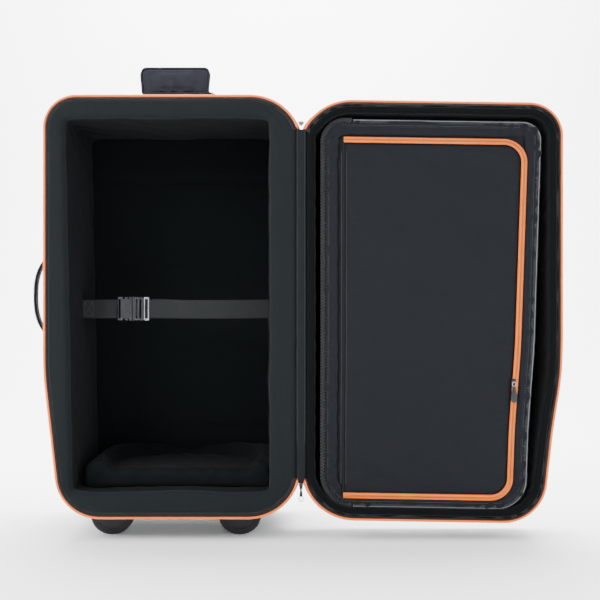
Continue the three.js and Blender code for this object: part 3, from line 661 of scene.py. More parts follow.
def plastic_look(name, rgb, roughness=0.42, grain=0.0009, scuffs=0.5):
    """Moulded plastic: fine spark-eroded grain, scuffs and slightly paler rubbed spots."""
    look = Look(name, roughness, Specular_IOR_Level=0.45)
    base = linear(*rgb)
    rubbed = look.noise(0.018, 5.0, 0.65)
    scratches = look.noise(0.004, 3.0, 0.7, stretch=(0.25, 1.2, 2.5))
    body = look.ramp(rubbed, (0.38, shade_of(base, 0.8)), (0.62, shade_of(base, 1.2)),
                     (0.8, shade_of(base, 1.7)))
    marks = look.ramp(scratches, (0.66, BLACK), (0.74, WHITE))
    look.colour(look.blend(look.maths("MULTIPLY", marks, 0.25 * scuffs), body, shade_of(base, 3.0)))
    look.rough(rubbed, roughness - 0.1, roughness + 0.18)
    look.bumps((rubbed, 0.15, 0.0005), (look.noise(grain, 2.0), 0.3, 0.00012))
    return look.material


def metal_look(name, rgb, roughness=0.28, brushed=(1, 1, 30), dull=0.6):
    """Plated or anodised metal: brushing, dull patches and fine pits."""
    look = Look(name, roughness, Metallic=1.0)
    base = linear(*rgb)
    brush = look.noise(0.004, 3.0, 0.6, stretch=tuple(1 / s if s > 1 else 4 for s in brushed))
    patches = look.noise(0.02, 4.0, 0.6)
    look.colour(look.blend(0.5, look.ramp(brush, (0.3, shade_of(base, 0.85)), (0.7, base)),
                           look.ramp(patches, (0.35, shade_of(base, dull)), (0.65, base))))
    look.rough(patches, roughness - 0.08, roughness + 0.2)
    look.bumps((brush, 0.12, 0.0001), (look.noise(0.0012, 2.0), 0.1, 0.0001))
    return look.material


def rubber_look(name, rgb, roughness=0.75):
    """Tyre or foot rubber: matt, pitted, dusty in its low places."""
    look = Look(name, roughness, Specular_IOR_Level=0.3)
    base = linear(*rgb)
    dusty = look.noise(0.012, 5.0, 0.7)
    pits = look.noise(0.0018, 3.0, 0.6)
    look.colour(look.blend(0.5, look.ramp(dusty, (0.35, shade_of(base, 0.75)), (0.7, shade_of(base, 1.7))),
                           look.ramp(pits, (0.35, shade_of(base, 0.6)), (0.65, shade_of(base, 1.2)))))
    look.rough(dusty, roughness - 0.12, roughness + 0.15)
    look.bumps((dusty, 0.2, 0.0008), (pits, 0.35, 0.0003))
    return look.material


SHELL_CLOTH = cloth_look("shell_cloth", (20, 21, 24), pitch=0.0018, creases=0.05, crease_depth=0.002)
LINING_CLOTH = cloth_look("lining_cloth", (15, 19, 21), pitch=0.0016, creases=0.030, crease_depth=0.0030,
                          lint=0.35)
LID_LINING = cloth_look("lid_lining_cloth", (8, 10, 11), pitch=0.0013, creases=0.03, crease_depth=0.0012,
                        lint=0.35, sheen=0.03, specular=0.05)
# The darker inner cloth: the bay's black cloth with painted shade darkened into its colour, and its sheen and
# specular almost taken away.
SHADED_INNER_CLOTH = cloth_look("inner_cloth_painted_shade", (12, 15, 16), pitch=0.0013, creases=0.03, crease_depth=0.0014,
                         lint=0.3, sheen=0.02, specular=0.04)
POCKET_CLOTH = cloth_look("pocket_cloth", (18, 20, 24), pitch=0.0019, creases=0.045, crease_depth=0.0030,
                          lint=0.6)
WRAP_CLOTH = cloth_look("wrap_cloth", (40, 41, 47), pitch=0.0015, creases=0.016, crease_depth=0.0016,
                        lint=0.5)
HINGE_CLOTH = cloth_look("hinge_cloth", (17, 20, 22), pitch=0.0012, creases=0.012, crease_depth=0.001,
                         lint=0.6)
BOARD = cloth_look("stiffener_board", (30, 30, 31), pitch=0.003)
TAPE_CLOTH = webbing_look("zipper_tape_weave", (17, 18, 20), rib=0.0016)
WEBBING = webbing_look("strap_webbing", (9, 14, 15))
HANDLE_WEBBING = webbing_look("handle_webbing", (20, 21, 24), rib=0.0025)
BINDING = webbing_look("edge_binding", (27, 28, 32), rib=0.0012)
# A dark red-brown cord along the piping's seam, coloured as the piping's painted shadow.
PIPING = trim_look("orange_piping", (247, 116, 44))
PIPING_SHADE = trim_look("piping_seam_shadow", (60, 22, 14), rib=0.003)
ZIP_ORANGE = trim_look("orange_zipper", (255, 122, 26), rib=0.0012)
ZIP_COIL = trim_look("orange_coil", (255, 144, 60), rib=0.0011, dark=0.6)
THREAD = trim_look("grey_thread", (80, 80, 86), rib=0.0009)
FRAY_THREAD = trim_look("fray_thread", (120, 123, 126), rib=0.0009)
ZINC = metal_look("zinc_stop", (122, 124, 128), 0.42)
DARK_THREAD = trim_look("dark_thread", (38, 39, 43), rib=0.0009)
BUCKLE = plastic_look("buckle_plastic", (28, 31, 34), 0.36)
PLASTIC = plastic_look("moulded_plastic", (21, 22, 24), 0.45)
HUB = plastic_look("hub_plastic", (44, 46, 49), 0.4)
ZIP_BLACK = plastic_look("zip_black", (20, 24, 24), 0.35, grain=0.0006)
BRIGHT = metal_look("bright_metal", (170, 173, 178), 0.3)
TUBE_METAL = metal_look("trolley_metal", (176, 180, 186), 0.26, brushed=(1, 1, 40))
FOOT_RUBBER = rubber_look("foot_rubber", (36, 35, 38), 0.62)
TYRE_RUBBER = rubber_look("tyre_rubber", (26, 26, 27), 0.8)

# What stays of the CAD takes these in place of its plain colours
CAD_LOOKS = {
    "board_": BOARD, "trolley_outer": TUBE_METAL, "trolley_stage": TUBE_METAL, "trolley_foot": PLASTIC,
    "wheel_housing": PLASTIC, "axle": TUBE_METAL,
}
for node_name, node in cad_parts.items():
    for prefix, look in CAD_LOOKS.items():
        if node_name.startswith(prefix):
            node.data.materials.clear()
            node.data.materials.append(look)


# ---- Stitching, cords and bands ----

def stitches(name, path, material, pitch=0.005, share=0.62, radius=0.00045, up=(0, -1, 0)):
    """A run of thread dashes along a path, each a small capsule sunk in at both ends."""
    line = even(path, pitch / 4)
    count = (len(line) - 1) // 4
    up = np.asarray(up, float)
    points, faces = [], []
    for i in range(count):
        a, b = line[4 * i], line[min(4 * i + 3, len(line) - 1)]
        b = a + (b - a) * share / 0.75
        along = b - a
        length = np.linalg.norm(along)
        if length < 1e-6:
            continue
        along /= length
        side = np.cross(along, up)
        side /= max(np.linalg.norm(side), 1e-9)
        start = len(points)
        for share_along, lift in ((0, -0.6), (0.2, 0.5), (0.8, 0.5), (1, -0.6)):
            centre = a + (b - a) * share_along + up * lift * radius
            for k in range(4):
                angle = math.pi / 2 * k + math.pi / 4
                points.append(centre + radius * (side * math.cos(angle) + up * math.sin(angle)))
        for ring in range(3):
            for k in range(4):
                n = (k + 1) % 4
                r = start + ring * 4
                faces.append((r + k, r + n, r + 4 + n, r + 4 + k))
        faces.append((start + 3, start + 2, start + 1, start))
        faces.append((start + 12, start + 13, start + 14, start + 15))
    return fix_normals(new_mesh(name, points, faces, material, np.zeros((sum(len(f) for f in faces), 2))))


def serging(name, path, material, inward, pitch=0.0036, width=0.005, radius=0.0006, seed=1):
    """Overlock thread: a slightly ragged zigzag along an edge."""
    line = even(path, pitch / 2)
    at = np.linspace(0, 1, len(inward))
    lean = np.stack([np.interp(np.linspace(0, 1, len(line)), at, inward[:, k]) for k in range(3)], 1)
    rough = fractal(line, 0.004, seed, 2)
    swing = np.where(np.arange(len(line)) % 2 == 0, 0.0, width * (1 + 0.35 * rough))
    zig = line + lean * swing[:, None] + np.array([0, -1, 0]) * (0.0006 + 0.0004 * rough)[:, None]
    return tube(name, zig, radius, material, sides=4, up=(0, 1, 0))


# ---- Rings and panels of cloth ----

def matched(line, count):
    """The open line with exactly count points, evenly spaced."""
    line = np.asarray(line, float)
    length = np.concatenate([[0], np.cumsum(np.linalg.norm(np.diff(line, axis=0), axis=1))])
    at = np.linspace(0, length[-1], count)
    return np.stack([np.interp(at, length, line[:, k]) for k in range(line.shape[1])], 1)


def closed_outline(inset, count, hinge_count):
    """The outline with its straight hinge side, as one closed line."""
    curve = matched(outline(inset), count)
    hinge = matched([curve[-1], curve[0]], hinge_count)[1:-1]
    return np.vstack([curve, hinge])


def grid_normals(points, close_rows, close_cols):
    def slope(axis, closed):
        if closed:
            return np.roll(points, -1, axis) - np.roll(points, 1, axis)
        return np.gradient(points, axis=axis)
    normal = np.cross(slope(0, close_rows), slope(1, close_cols))
    return normal / np.maximum(np.linalg.norm(normal, axis=2), 1e-12)[:, :, None]


def push(points, amount, close_rows=False, close_cols=False, sign=1.0):
    """Moves a grid of points along its own normals."""
    return points + grid_normals(points, close_rows, close_cols) * (sign * amount)[:, :, None]


def cloth_noise(points, scale, seed, octaves=3):
    return fractal(points.reshape(-1, 3), scale, seed, octaves).reshape(points.shape[:2])


def cloth_folds(points, direction, pitch, seed, waver=0.35):
    return folds(points.reshape(-1, 3), direction, pitch, seed, waver).reshape(points.shape[:2])


def mitred_ring(outer, corners, targets, spacing):
    """Pairs points of a closed outer line with a four-cornered inner line, side by side.
    Also gives each pair's distance from the nearest corner and its side's number."""
    outer = np.asarray(outer, float)
    marks = []
    for at, target in zip(corners, targets):
        at, target = np.array(at), np.array(target)
        ray = (target - at) / np.linalg.norm(target - at)
        ahead = (outer - at) @ ray
        off = np.linalg.norm(outer - at - ahead[:, None] * ray, axis=1)
        off[ahead < 0] = 9
        marks.append(int(np.argmin(off)))
    outers, inners, nearest, sides = [], [], [], []
    for k in range(4):
        a, b = marks[k], marks[(k + 1) % 4]
        run = outer[a : b + 1] if b > a else np.vstack([outer[a:], outer[: b + 1]])
        inner = np.array([corners[k], corners[(k + 1) % 4]], float)
        length = np.linalg.norm(inner[1] - inner[0])
        count = max(8, int(length / spacing))
        outers.append(matched(run, count + 1)[:-1])
        inners.append(matched(inner, count + 1)[:-1])
        along = np.linspace(0, length, count + 1)[:-1]
        nearest.append(np.minimum(along, length - along))
        sides.append(np.full(count, k))
    return np.vstack(outers), np.vstack(inners), np.concatenate(nearest), np.concatenate(sides)


def wall_section(outer, inner, front, back, edge, crown, belly, tuck=0.003, front_steps=10, wall_steps=16):
    """The section of a padded wall at each pair of points: front face, rounded edge, inner face, back."""
    facing = normals_of(inner, True)
    lip = inner + facing * edge
    columns = [(outer, front + 0.02), (outer, front + tuck + 0.004)]
    for s in np.linspace(0, 1, front_steps):
        rise = crown * math.sin(math.pi * s) ** 0.7
        columns.append((outer + (lip - outer) * s, front + tuck * (1 - float(smooth(0, 0.25, s))) - rise))
    for a in np.linspace(0, math.pi / 2, 6)[1:]:
        columns.append((inner + facing * edge * (1 - math.sin(a)), front + edge * (1 - math.cos(a))))
    for t in np.linspace(0, 1, wall_steps)[1:]:
        swell = (belly * math.sin(math.pi * min(1, t * 0.97)) ** 0.8)[:, None]
        columns.append((inner - facing * swell, front + edge + t * (back - front - edge)))
    columns.append((inner + (outer - inner) * 0.5, back))
    columns.append((outer, back))
    columns.append((outer, (front + back) / 2))
    uz = np.stack([c[0] for c in columns], 1)
    v = np.stack([np.broadcast_to(c[1], (len(outer),)) for c in columns], 1)
    return uz[..., 0], v, uz[..., 1]


def corner_share(facing, window, full_turn):
    """How strongly a closed line bends at each point: 0 where straight, 1 at full_turn radians a step."""
    turn = np.abs(np.gradient(np.unwrap(np.arctan2(facing[:, 1], facing[:, 0]))))
    around = np.convolve(np.tile(turn, 3), np.ones(window) / window, "same")[len(turn):2 * len(turn)]
    return np.clip(around / full_turn, 0, 1)[:, None]


def dome_of(rows, columns, power):
    """A pillow over a grid: 0 along its edges and 1 in the middle; a low power gives it steep sides."""
    s = np.linspace(0, 1, columns)[None, :]
    t = np.linspace(0, 1, rows)[:, None]
    return (np.sin(math.pi * s) * np.sin(math.pi * t)) ** power


def ring_sheet(name, points, amount, material):
    """A closed ring of cloth, its grid pushed out from the stuffing by an amount."""
    sign = -1.0 if ring_faces_in(points) else 1.0
    points = push(points, amount, close_rows=True, close_cols=True, sign=sign)
    return grid(name, points, material, close_rows=True, close_cols=True)


def scan_rows(left, right, heights, columns):
    """(u, z) grids between a left and a right edge at each height."""
    share = np.linspace(0, 1, columns)[None, :]
    u = left[:, None] + (right - left)[:, None] * share
    return u, np.repeat(heights[:, None], columns, 1)


# ---- Outer shells ----

HOUSING = [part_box("wheel_housing_free"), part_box("wheel_housing_hinge")]
EDGE_ROUNDING, SHELL_THICKNESS = 0.015, 0.0026
# Sewn channels that run up each back panel, as distances from the hinge
PANEL_SEAMS = (0.115, 0.390)
# Rows that span the outline stop this far inside its flat top and bottom
ROW_MARGIN = 0.0005
WELL_GAP, BEHIND = 0.0006, 0.03
WELLS = [
    ((low.x - WELL_GAP, low.y - WELL_GAP, 0.0), (high.x + WELL_GAP, high.y + BEHIND, high.z + WELL_GAP))
    for low, high in HOUSING
]


def panel_rows(left, right, heights, marks):
    """(u, z) rows from left to right whose columns also run along each mark."""
    steps = [12, 8, 30, 8, 12] if marks else [66]
    count = len(marks)
    least = 0.0003
    stops = [left]
    for k, mark in enumerate(marks):
        stops.append(np.clip(mark, left + least * (k + 1), right - least * (count - k)))
    stops.append(right)
    columns = []
    for a, b, step in zip(stops, stops[1:], steps):
        columns.append(a[:, None] + (b - a)[:, None] * np.linspace(0, 1, step + 1)[None, :-1])
    columns.append(right[:, None])
    u = np.concatenate(columns, 1)
    return u, np.repeat(heights[:, None], u.shape[1], 1)


def open_wells(sheet, wells):
    """Takes out the faces of a sheet that lie over the wheel wells."""
    made = bmesh.new()
    made.from_mesh(sheet.data)
    gone = []
    for face in made.faces:
        x, _, z = face.calc_center_median()
        if any(low[0] < x < high[0] and low[2] < z < high[2] for low, high in wells):
            gone.append(face)
    bmesh.ops.delete(made, geom=gone, context="FACES")
    made.to_mesh(sheet.data)
    made.free()


def make_shell(side, depth, prefix, seed):
    """Gusset and back panel of one half: a soft sleeve with a rounded back edge and a crowned panel."""
    loop = closed_outline(0, 300, 90)
    facing = normals_of(loop, True)
    profile = [(SHELL_FRONT + 0.0004, -0.0045), (SHELL_FRONT - 0.0008, -0.003),
               (SHELL_FRONT - 0.0010, -0.0012), (SHELL_FRONT, -0.0001)]
    straight = np.linspace(SHELL_FRONT + 0.004, depth - EDGE_ROUNDING, int(depth / 0.0085))
    profile += [(v, 0.0) for v in straight]
    for a in np.linspace(0, math.pi / 2, 7)[1:]:
        profile.append((depth - EDGE_ROUNDING * (1 - math.sin(a)), -EDGE_ROUNDING * (1 - math.cos(a))))
    v = np.array([p[0] for p in profile])[None, :]
    inward = np.array([p[1] for p in profile])
    uz = loop[:, None] + facing[:, None] * inward[None, :, None]
    points = place(side, uz[..., 0], v, uz[..., 1])
    along = np.clip((v - SHELL_FRONT) / (depth - SHELL_FRONT), 0, 1)
    free = smooth(0.03, 0.09, loop[:, :1])
    hold = np.sin(math.pi * along) ** 0.6
    curve = corner_share(facing, 15, 0.05)
    amount = hold * free * (0.0022 + 0.0016 * cloth_noise(points, 0.11, seed))
    patches = np.clip(0.3 + cloth_noise(points, 0.16, seed + 7), 0, 1)
    gathers = cloth_folds(points, (0.3, 1.0, 0.3), 0.041, seed + 1, 0.9)
    amount = amount + hold * free * curve * patches * 0.0012 * gathers
    amount = amount + hold * free * 0.0006 * cloth_noise(points, 0.03, seed + 2)
    # The cloth never sinks into the stiffening boards just under it
    amount = np.maximum(amount, 0.0004 * hold * free)
    sign = -1.0 if side == BASE else 1.0
    points = push(points, amount, close_rows=True, sign=sign)
    sleeve = grid(prefix + "_gusset", points, SHELL_CLOTH, close_rows=True)
    fix_sheet(sleeve, side)
    thicken(sleeve, SHELL_THICKNESS)

    inset = EDGE_ROUNDING - 0.0014
    heights = np.linspace(CASE_BOTTOM + inset + ROW_MARGIN, CASE_TOP - inset - ROW_MARGIN, 110)
    openings = WELLS if side == BASE else []
    if openings:
        heights = np.sort(np.append(heights, openings[0][1][2]))
    left, right = span_at(inset, heights)
    marks = sorted(HINGE_X - x for low, high in openings for x in (low[0], high[0]))
    u, z = panel_rows(left, right, heights, marks)
    s = (u - left[:, None]) / (right - left)[:, None]
    t = ((heights - heights[0]) / (heights[-1] - heights[0]))[:, None]
    dome = (np.sin(math.pi * s) * np.sin(math.pi * t)) ** 0.35
    panel = place(side, u, depth, z)
    channel = sum(bump(u, x, 0.0035) for x in PANEL_SEAMS) * smooth(0, 0.1, t) * smooth(1, 0.9, t)
    puff = 0.0045 * dome + 0.0016 * dome * cloth_noise(panel, 0.12, seed + 4) - 0.0028 * channel * dome
    near_seam = np.exp(-np.minimum(np.minimum(s, 1 - s) * 0.48, np.minimum(t, 1 - t) * 0.8) / 0.03)
    puff = puff + 0.0008 * near_seam * dome * cloth_folds(panel, (1.0, 0.0, 0.5), 0.024, seed + 5)
    panel[..., 1] += puff
    back = grid(prefix + "_back_panel", panel, SHELL_CLOTH)
    open_wells(back, openings)
    thicken(fix_sheet(back, side, facing_back=True), SHELL_THICKNESS)

    ring = closed_outline(0.006, 420, 110)
    bound = place(side, ring[:, 0], depth - 0.0052, ring[:, 1])
    binding = tube(prefix + "_back_binding", bound, 0.0042, BINDING, sides=10, closed=True, power=2.6)
    inner = closed_outline(0.0135, 420, 110)
    row = place(side, inner[:, 0], depth + 0.0007, inner[:, 1])
    sewn = stitches(prefix + "_back_stitching", np.vstack([row, row[:1]]), DARK_THREAD, pitch=0.0055,
                    up=(0, 1, 0), radius=0.0006)
    return sleeve, back, binding, sewn


def fix_sheet(piece, side, facing_back=False):
    """Turns an open sheet so that its faces look outwards."""
    centre = Vector(place(side, CASE_WIDTH / 2, 0.06, (CASE_TOP + CASE_BOTTOM) / 2))
    outwards = sum(
        (1 if (p.normal.y > 0 if facing_back else p.normal.dot(p.center - centre) > 0) else -1) * p.area
        for p in piece.data.polygons
    )
    if outwards < 0:
        piece.data.flip_normals()
    return piece


base_gusset, base_back, base_binding, base_sewn = make_shell(BASE, BASE_DEPTH, "base", 3)
for piece in (base_gusset, base_binding, base_sewn):
    carve(piece, WELLS)
base_parts = (base_gusset, base_back, base_binding, base_sewn)
for body, parts in (("base", base_parts), ("lid", make_shell(LID, LID_DEPTH, "lid", 9))):
    gusset, back, binding, sewn = parts
    finish_piece(gusset, body, [body + "_shell"])
    finish_piece(back, body)
    finish_piece(binding, body)
    finish_piece(sewn, body)


# ---- Padded lining of the base ----

CAVITY = [(0.0615, 0.097), (0.449, 0.097), (0.463, 0.829), (0.0615, 0.829)]
OUTER_TARGETS = [(0.0015, 0.044), (0.473, 0.044), (0.505, 0.875), (0.0015, 0.875)]
LINING_FRONT, CAVITY_BACK = 0.0022, 0.2716


def soft_corner(distance):
    """One in a corner, fading away from it."""
    return 1 - smooth(0.0, 0.05, distance)


def make_base_lining():
    outer, inner, nearest, sides = mitred_ring(
        closed_outline(0.0066, 900, 300), CAVITY, OUTER_TARGETS, 0.0062)
    soft = smooth(0.0, 0.075, nearest)
    belly = np.choose(sides, [0.0015, 0.006, 0.0045, 0.006]) * soft
    edge = 0.013
    towards = np.array([0.255, 0.463]) - inner
    towards /= np.linalg.norm(towards, axis=1)[:, None]
    filled = 0.006 * np.exp(-nearest / 0.012) * soft_corner(nearest)
    spots = np.stack([inner[:, 0], 0 * inner[:, 0], inner[:, 1]], 1)
    wander = 0.0028 * soft * fractal(spots, 0.09, 23, 2)
    inner = inner + towards * (filled + wander)[:, None]
    u, v, z = wall_section(outer, inner, LINING_FRONT, CAVITY_BACK, edge, 0.0011, belly, front_steps=13,
                           wall_steps=26)
    points = place(BASE, u, v, z)
    corner_hold = np.exp(-nearest / 0.085)[:, None]
    on_wall = smooth(0.006, 0.03, v) * (1 - smooth(0.2, 0.26, v))
    on_front = 1 - smooth(0.004, 0.014, v)
    amount = 0.0011 * cloth_noise(points, 0.07, 21) * (on_wall + 0.3 * on_front)
    slant = sides[:, None]
    patches = np.clip(0.25 + 1.1 * cloth_noise(points, 0.13, 22), 0, 1)
    for number, direction in enumerate([(1, 0.6, 0), (0, 0.8, 1), (1, -0.9, 0.2), (0, -0.6, 1)]):
        mine = (slant == number) * (0.2 + 0.9 * corner_hold) * patches
        amount = amount + mine * on_wall * 0.0026 * cloth_folds(points, direction, 0.052, 31 + number, 1.1)
    amount = amount + on_front * corner_hold * 0.0007 * cloth_folds(points, (1, 0, 1), 0.02, 40, 0.6)
    crease = np.exp(-((nearest / 0.0045) ** 2))[:, None]
    amount = amount - 0.0022 * crease * (on_front + 0.8 * on_wall)
    sign = -1.0 if ring_faces_in(points) else 1.0
    points = push(points, amount, close_rows=True, close_cols=True, sign=sign)
    lip = np.exp(-(((v - 0.004) / 0.012) ** 2)) * (slant == 0) * bump(u, 0.115, 0.055)
    near_edge = smooth(0.055, 0.095, z)
    points[..., 2] -= 0.0035 * lip * near_edge
    lining = grid("base_lining", points, LINING_CLOTH, close_rows=True, close_cols=True)
    # The faces deeper in the bay take the darker inner cloth as painted shade.
    return paint_shade_inside(lining, RIM_Y + 0.017)


def paint_shade_inside(piece, behind):
    """Gives the faces further back than a depth the darker inner cloth: painted shade on the inner walls of
    the bay.
    """
    piece.data.materials.append(SHADED_INNER_CLOTH)
    for polygon in piece.data.polygons:
        polygon.material_index = 1 if polygon.center.y > behind else 0
    return piece


def ring_faces_in(points):
    """True where a ring's grid normals point into its stuffing."""
    normals = grid_normals(points, True, True)
    middle = points.mean(1, keepdims=True)
    return float(((points - middle) * normals).sum()) < 0


base_lining = subdivide(fix_normals(make_base_lining()))
base_foam = ["foam_bottom", "foam_free_side", "foam_top", "foam_hinge_side"]
finish_piece(base_lining, "base", base_foam)


def make_back_pad():
    """The quilted pad behind the bay, tucked a little under the walls all round."""
    rows, columns, tuck = 96, 54, 0.007
    low, high = CAVITY[0][1], CAVITY[3][1]
    heights = np.linspace(low - tuck, high + tuck, rows)
    share = (heights - low) / (high - low)
    left = np.full(rows, CAVITY[0][0] - 0.0075)
    right = CAVITY[1][0] + (CAVITY[2][0] - CAVITY[1][0]) * share + 0.008
    u, z = scan_rows(left, right, heights, columns)
    points = place(BASE, u, CAVITY_BACK, z)
    s = np.linspace(0, 1, columns)[None, :]
    dome = dome_of(rows, columns, 0.4)
    quilt_pitch = (high - low) / 4
    quilt = bump((z - low) % quilt_pitch, quilt_pitch / 2, 0.006) * smooth(0, 0.06, s) * smooth(1, 0.94, s)
    points[..., 1] -= 0.0045 * dome - 0.003 * quilt + 0.0014 * dome * cloth_noise(points, 0.06, 51)
    # The pad is darker inner cloth, with painted shade in its colour.
    return thicken(face_front(grid("base_back_pad", points, SHADED_INNER_CLOTH)), 0.018)


finish_piece(make_back_pad(), "base", ["foam_back"])


# ---- Cradle under the telescope's end ----

CRADLE_LOW, CRADLE_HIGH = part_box("foam_cradle")
SCOOP_RADIUS, SCOOP_DEPTH, SCOOP_U = 0.160, 0.022, 0.242


def make_cradle():
    """A block of foam with a round seat: columns run across it, rows go round its section."""
    u0, u1 = HINGE_X - CRADLE_HIGH.x, HINGE_X - CRADLE_LOW.x
    v0, v1 = CRADLE_LOW.y - RIM_Y, CAVITY_BACK
    low, high = CRADLE_LOW.z, CRADLE_HIGH.z
    columns = np.linspace(0, 1, 74)
    rounding = 0.011
    section = [(v0 + 0.004, low), (v0, low + 0.004)]
    section += [(v0 - 0.0008 * math.sin(math.pi * t), low + 0.004 + (high - low - 0.004 - rounding) * t)
                for t in np.linspace(0, 1, 9)[1:]]
    for a in np.linspace(0, math.pi / 2, 6)[1:]:
        section.append((v0 + rounding * (1 - math.cos(a)), high - rounding * (1 - math.sin(a))))
    section += [(v, high) for v in np.linspace(v0 + rounding, v1 - 0.002, 34)[1:]]
    section += [(v1 - 0.002, low), ((v0 + v1) / 2, low)]
    v = np.array([p[0] for p in section])[:, None] + 0 * columns[None, :]
    z = np.array([p[1] for p in section])[:, None] + 0 * columns[None, :]
    u = u0 + (u1 - u0) * columns[None, :] + 0 * v
    reach = np.hypot(u - SCOOP_U, v - (CAVITY_BACK - SCOOP_RADIUS))
    seat = smooth(SCOOP_RADIUS + 0.005, SCOOP_RADIUS - 0.014, reach)
    share = np.clip((z - low) / (high - low), 0, 1)
    z = z - seat * SCOOP_DEPTH * share
    slope = np.clip((u - (u1 - 0.025)) / 0.025, 0, 1)
    z = z - share * 0.024 * (1 - np.sqrt(np.clip(1 - slope**2, 0, 1)))
    ends = smooth(0, 0.03, columns)[None, :] * smooth(1, 0.97, columns)[None, :]
    points = place(BASE, u, v, z)
    wave = 0.0016 * cloth_folds(points, (1, 0, 0.5), 0.05, 61, 0.8) * ends
    wave = wave + 0.0014 * cloth_noise(points, 0.045, 62) * ends
    points[..., 1] -= wave * share
    points[..., 2] += 0.6 * wave * share
    points[..., 2] += 0.004 * share * np.sin(math.pi * columns)[None, :] ** 0.5 * (1 - seat)
    # The cradle's cover is darker inner cloth, with painted shade in its colour.
    return close_holes(grid("foam_cradle_cover", points, SHADED_INNER_CLOTH, close_rows=True))


cradle = inflate(make_cradle(), 0.0052, 0.0045)
finish_piece(cradle, "base", ["foam_cradle"])


# ---- Orange piping, zipper tape and teeth round both rims ----

def rim_line(side, inset, v):
    line = matched(outline(inset), 700)
    return place(side, line[:, 0], v, line[:, 1])


def make_rim(side, body):
    """Piping, the seam beside it as a dark cord painted with the piping's shadow, the zipper's tape and coil,
    and the stitching that holds them to the cloth.
    """
    count, length = 640, 2.35
    line = matched(outline(0.0031), count)
    ends = np.minimum(np.arange(count), np.arange(count)[::-1]) / count * length
    flare = np.exp(-((ends / 0.035) ** 2))
    facing = normals_of(line, False)
    line = line - facing * (0.0016 * flare)[:, None]
    wander = 0.00025 * fractal(place(side, line[:, 0], 0, line[:, 1]), 0.03, 71 + side)
    radius = 0.0029 + 0.0015 * flare + wander
    radius = radius * (0.45 + 0.55 * smooth(0, 0.008, ends))
    path = place(side, line[:, 0], 0.0052, line[:, 1])
    piping = tube(body + "_rim_piping", path, radius, PIPING, sides=12, flat=0.92)
    finish_piece(piping, body, [body + "_piping"])
    # The dark cord beside the piping is its painted shadow along the seam.
    seam = tube(body + "_piping_seam_shadow", rim_line(side, 0.0067, 0.0026), 0.0011, PIPING_SHADE, sides=6)
    finish_piece(seam, body)

    near, far = matched(outline(0.0074), count), matched(outline(0.0152), count)
    share = np.linspace(0, 1, 5)[None, :, None]
    uz = near[:, None] + (far - near)[:, None] * share
    v = 0.0016 + 0.0009 * (np.abs(np.linspace(-1, 1, 5)) ** 3)[None, :]
    tape = face_front(grid(body + "_rim_tape", place(side, uz[..., 0], v, uz[..., 1]), TAPE_CLOTH))
    finish_piece(thicken(tape, 0.0009), body, [body + "_zipper_tape"])
    row = matched(outline(0.0080), 1900)
    swing = np.where(np.arange(len(row)) % 2 == 0, 0.0, 0.0019)
    facing = normals_of(row, False)
    teeth_line = row - facing * swing[:, None]
    coil = tube(body + "_rim_coil", place(side, teeth_line[:, 0], 0.0012, teeth_line[:, 1]), 0.00062,
                ZIP_BLACK, sides=4)
    finish_piece(coil, body)
    row = rim_line(side, 0.0139, 0.0011)
    sewn = stitches(body + "_rim_stitching", row, DARK_THREAD, pitch=0.0044, radius=0.0004)
    finish_piece(sewn, body)


make_rim(BASE, "base")
make_rim(LID, "lid")


# ---- Fabric hinge between the halves ----

def make_hinge_strip():
    """The strip of cloth between the halves, narrower at its lower end and sewn down along both sides."""
    notch_bottom = CASE_BOTTOM + BOTTOM_NOTCH_RISE
    heights = np.linspace(notch_bottom - 0.015, CASE_TOP - TOP_NOTCH_DROP - 0.002, 150)
    half = 0.0086
    across = np.linspace(-half, half, 21)
    narrow = 0.40 + 0.60 * smooth(notch_bottom - 0.015, notch_bottom + 0.008, heights)
    x = HINGE_X + across[None, :] * narrow[:, None]
    ridge = 0.0009 * (1 - (across / half) ** 2)[None, :]
    y = RIM_Y + 0.0012 - ridge + 0 * x
    z = heights[:, None] + 0 * x
    points = np.stack([x, y, z], -1)
    pucker = 0.00035 * cloth_folds(points, (0.25, 0, 1), 0.011, 81, 0.5)
    points[..., 1] += pucker + 0.0003 * cloth_noise(points, 0.02, 82)
    strip = thicken(face_front(grid("hinge_strip", points, HINGE_CLOTH)), 0.0011)
    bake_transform(strip)
    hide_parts("base_hinge_leaf", "lid_hinge_leaf")
    for side, body in ((BASE, "base"), (LID, "lid")):
        row = [(HINGE_X + side * 0.0076, RIM_Y + 0.0009, z) for z in heights[18:]]
        sewn = stitches(f"hinge_stitching_{body}", row, THREAD, pitch=0.0046, radius=0.0004)
        finish_piece(sewn, body)


make_hinge_strip()


# ---- Tube strap ----

STRAP_Z, STRAP_V, STRAP_WIDTH, STRAP_THICKNESS = 0.455, 0.110, 0.038, 0.0026


def from_hinge(x):
    """The distance u of a place in the base from the hinge line."""
    return HINGE_X - x


def in_bay(u, v_shift, z_shift):
    """A place in the bay, given from the middle of the strap."""
    return place(BASE, u, STRAP_V + v_shift, STRAP_Z + z_shift)


def strap_band(name, u_from, u_to, width, thickness, sag, seed):
    """Webbing between two places, with a soft edge, a little slack and a slow twist."""
    count = max(12, int(abs(u_to - u_from) / 0.003))
    u = np.linspace(u_from, u_to, count)
    s = np.linspace(0, 1, count)
    ripple = sag * np.sin(math.pi * s) + 0.0006 * np.sin(9 * s + seed)
    path = in_bay(u, -ripple, -0.4 * sag * np.sin(math.pi * s))
    return tube(name, path, thickness / 2, WEBBING, sides=28, up=(0, 0, 1), flat=width / thickness, power=5.0)


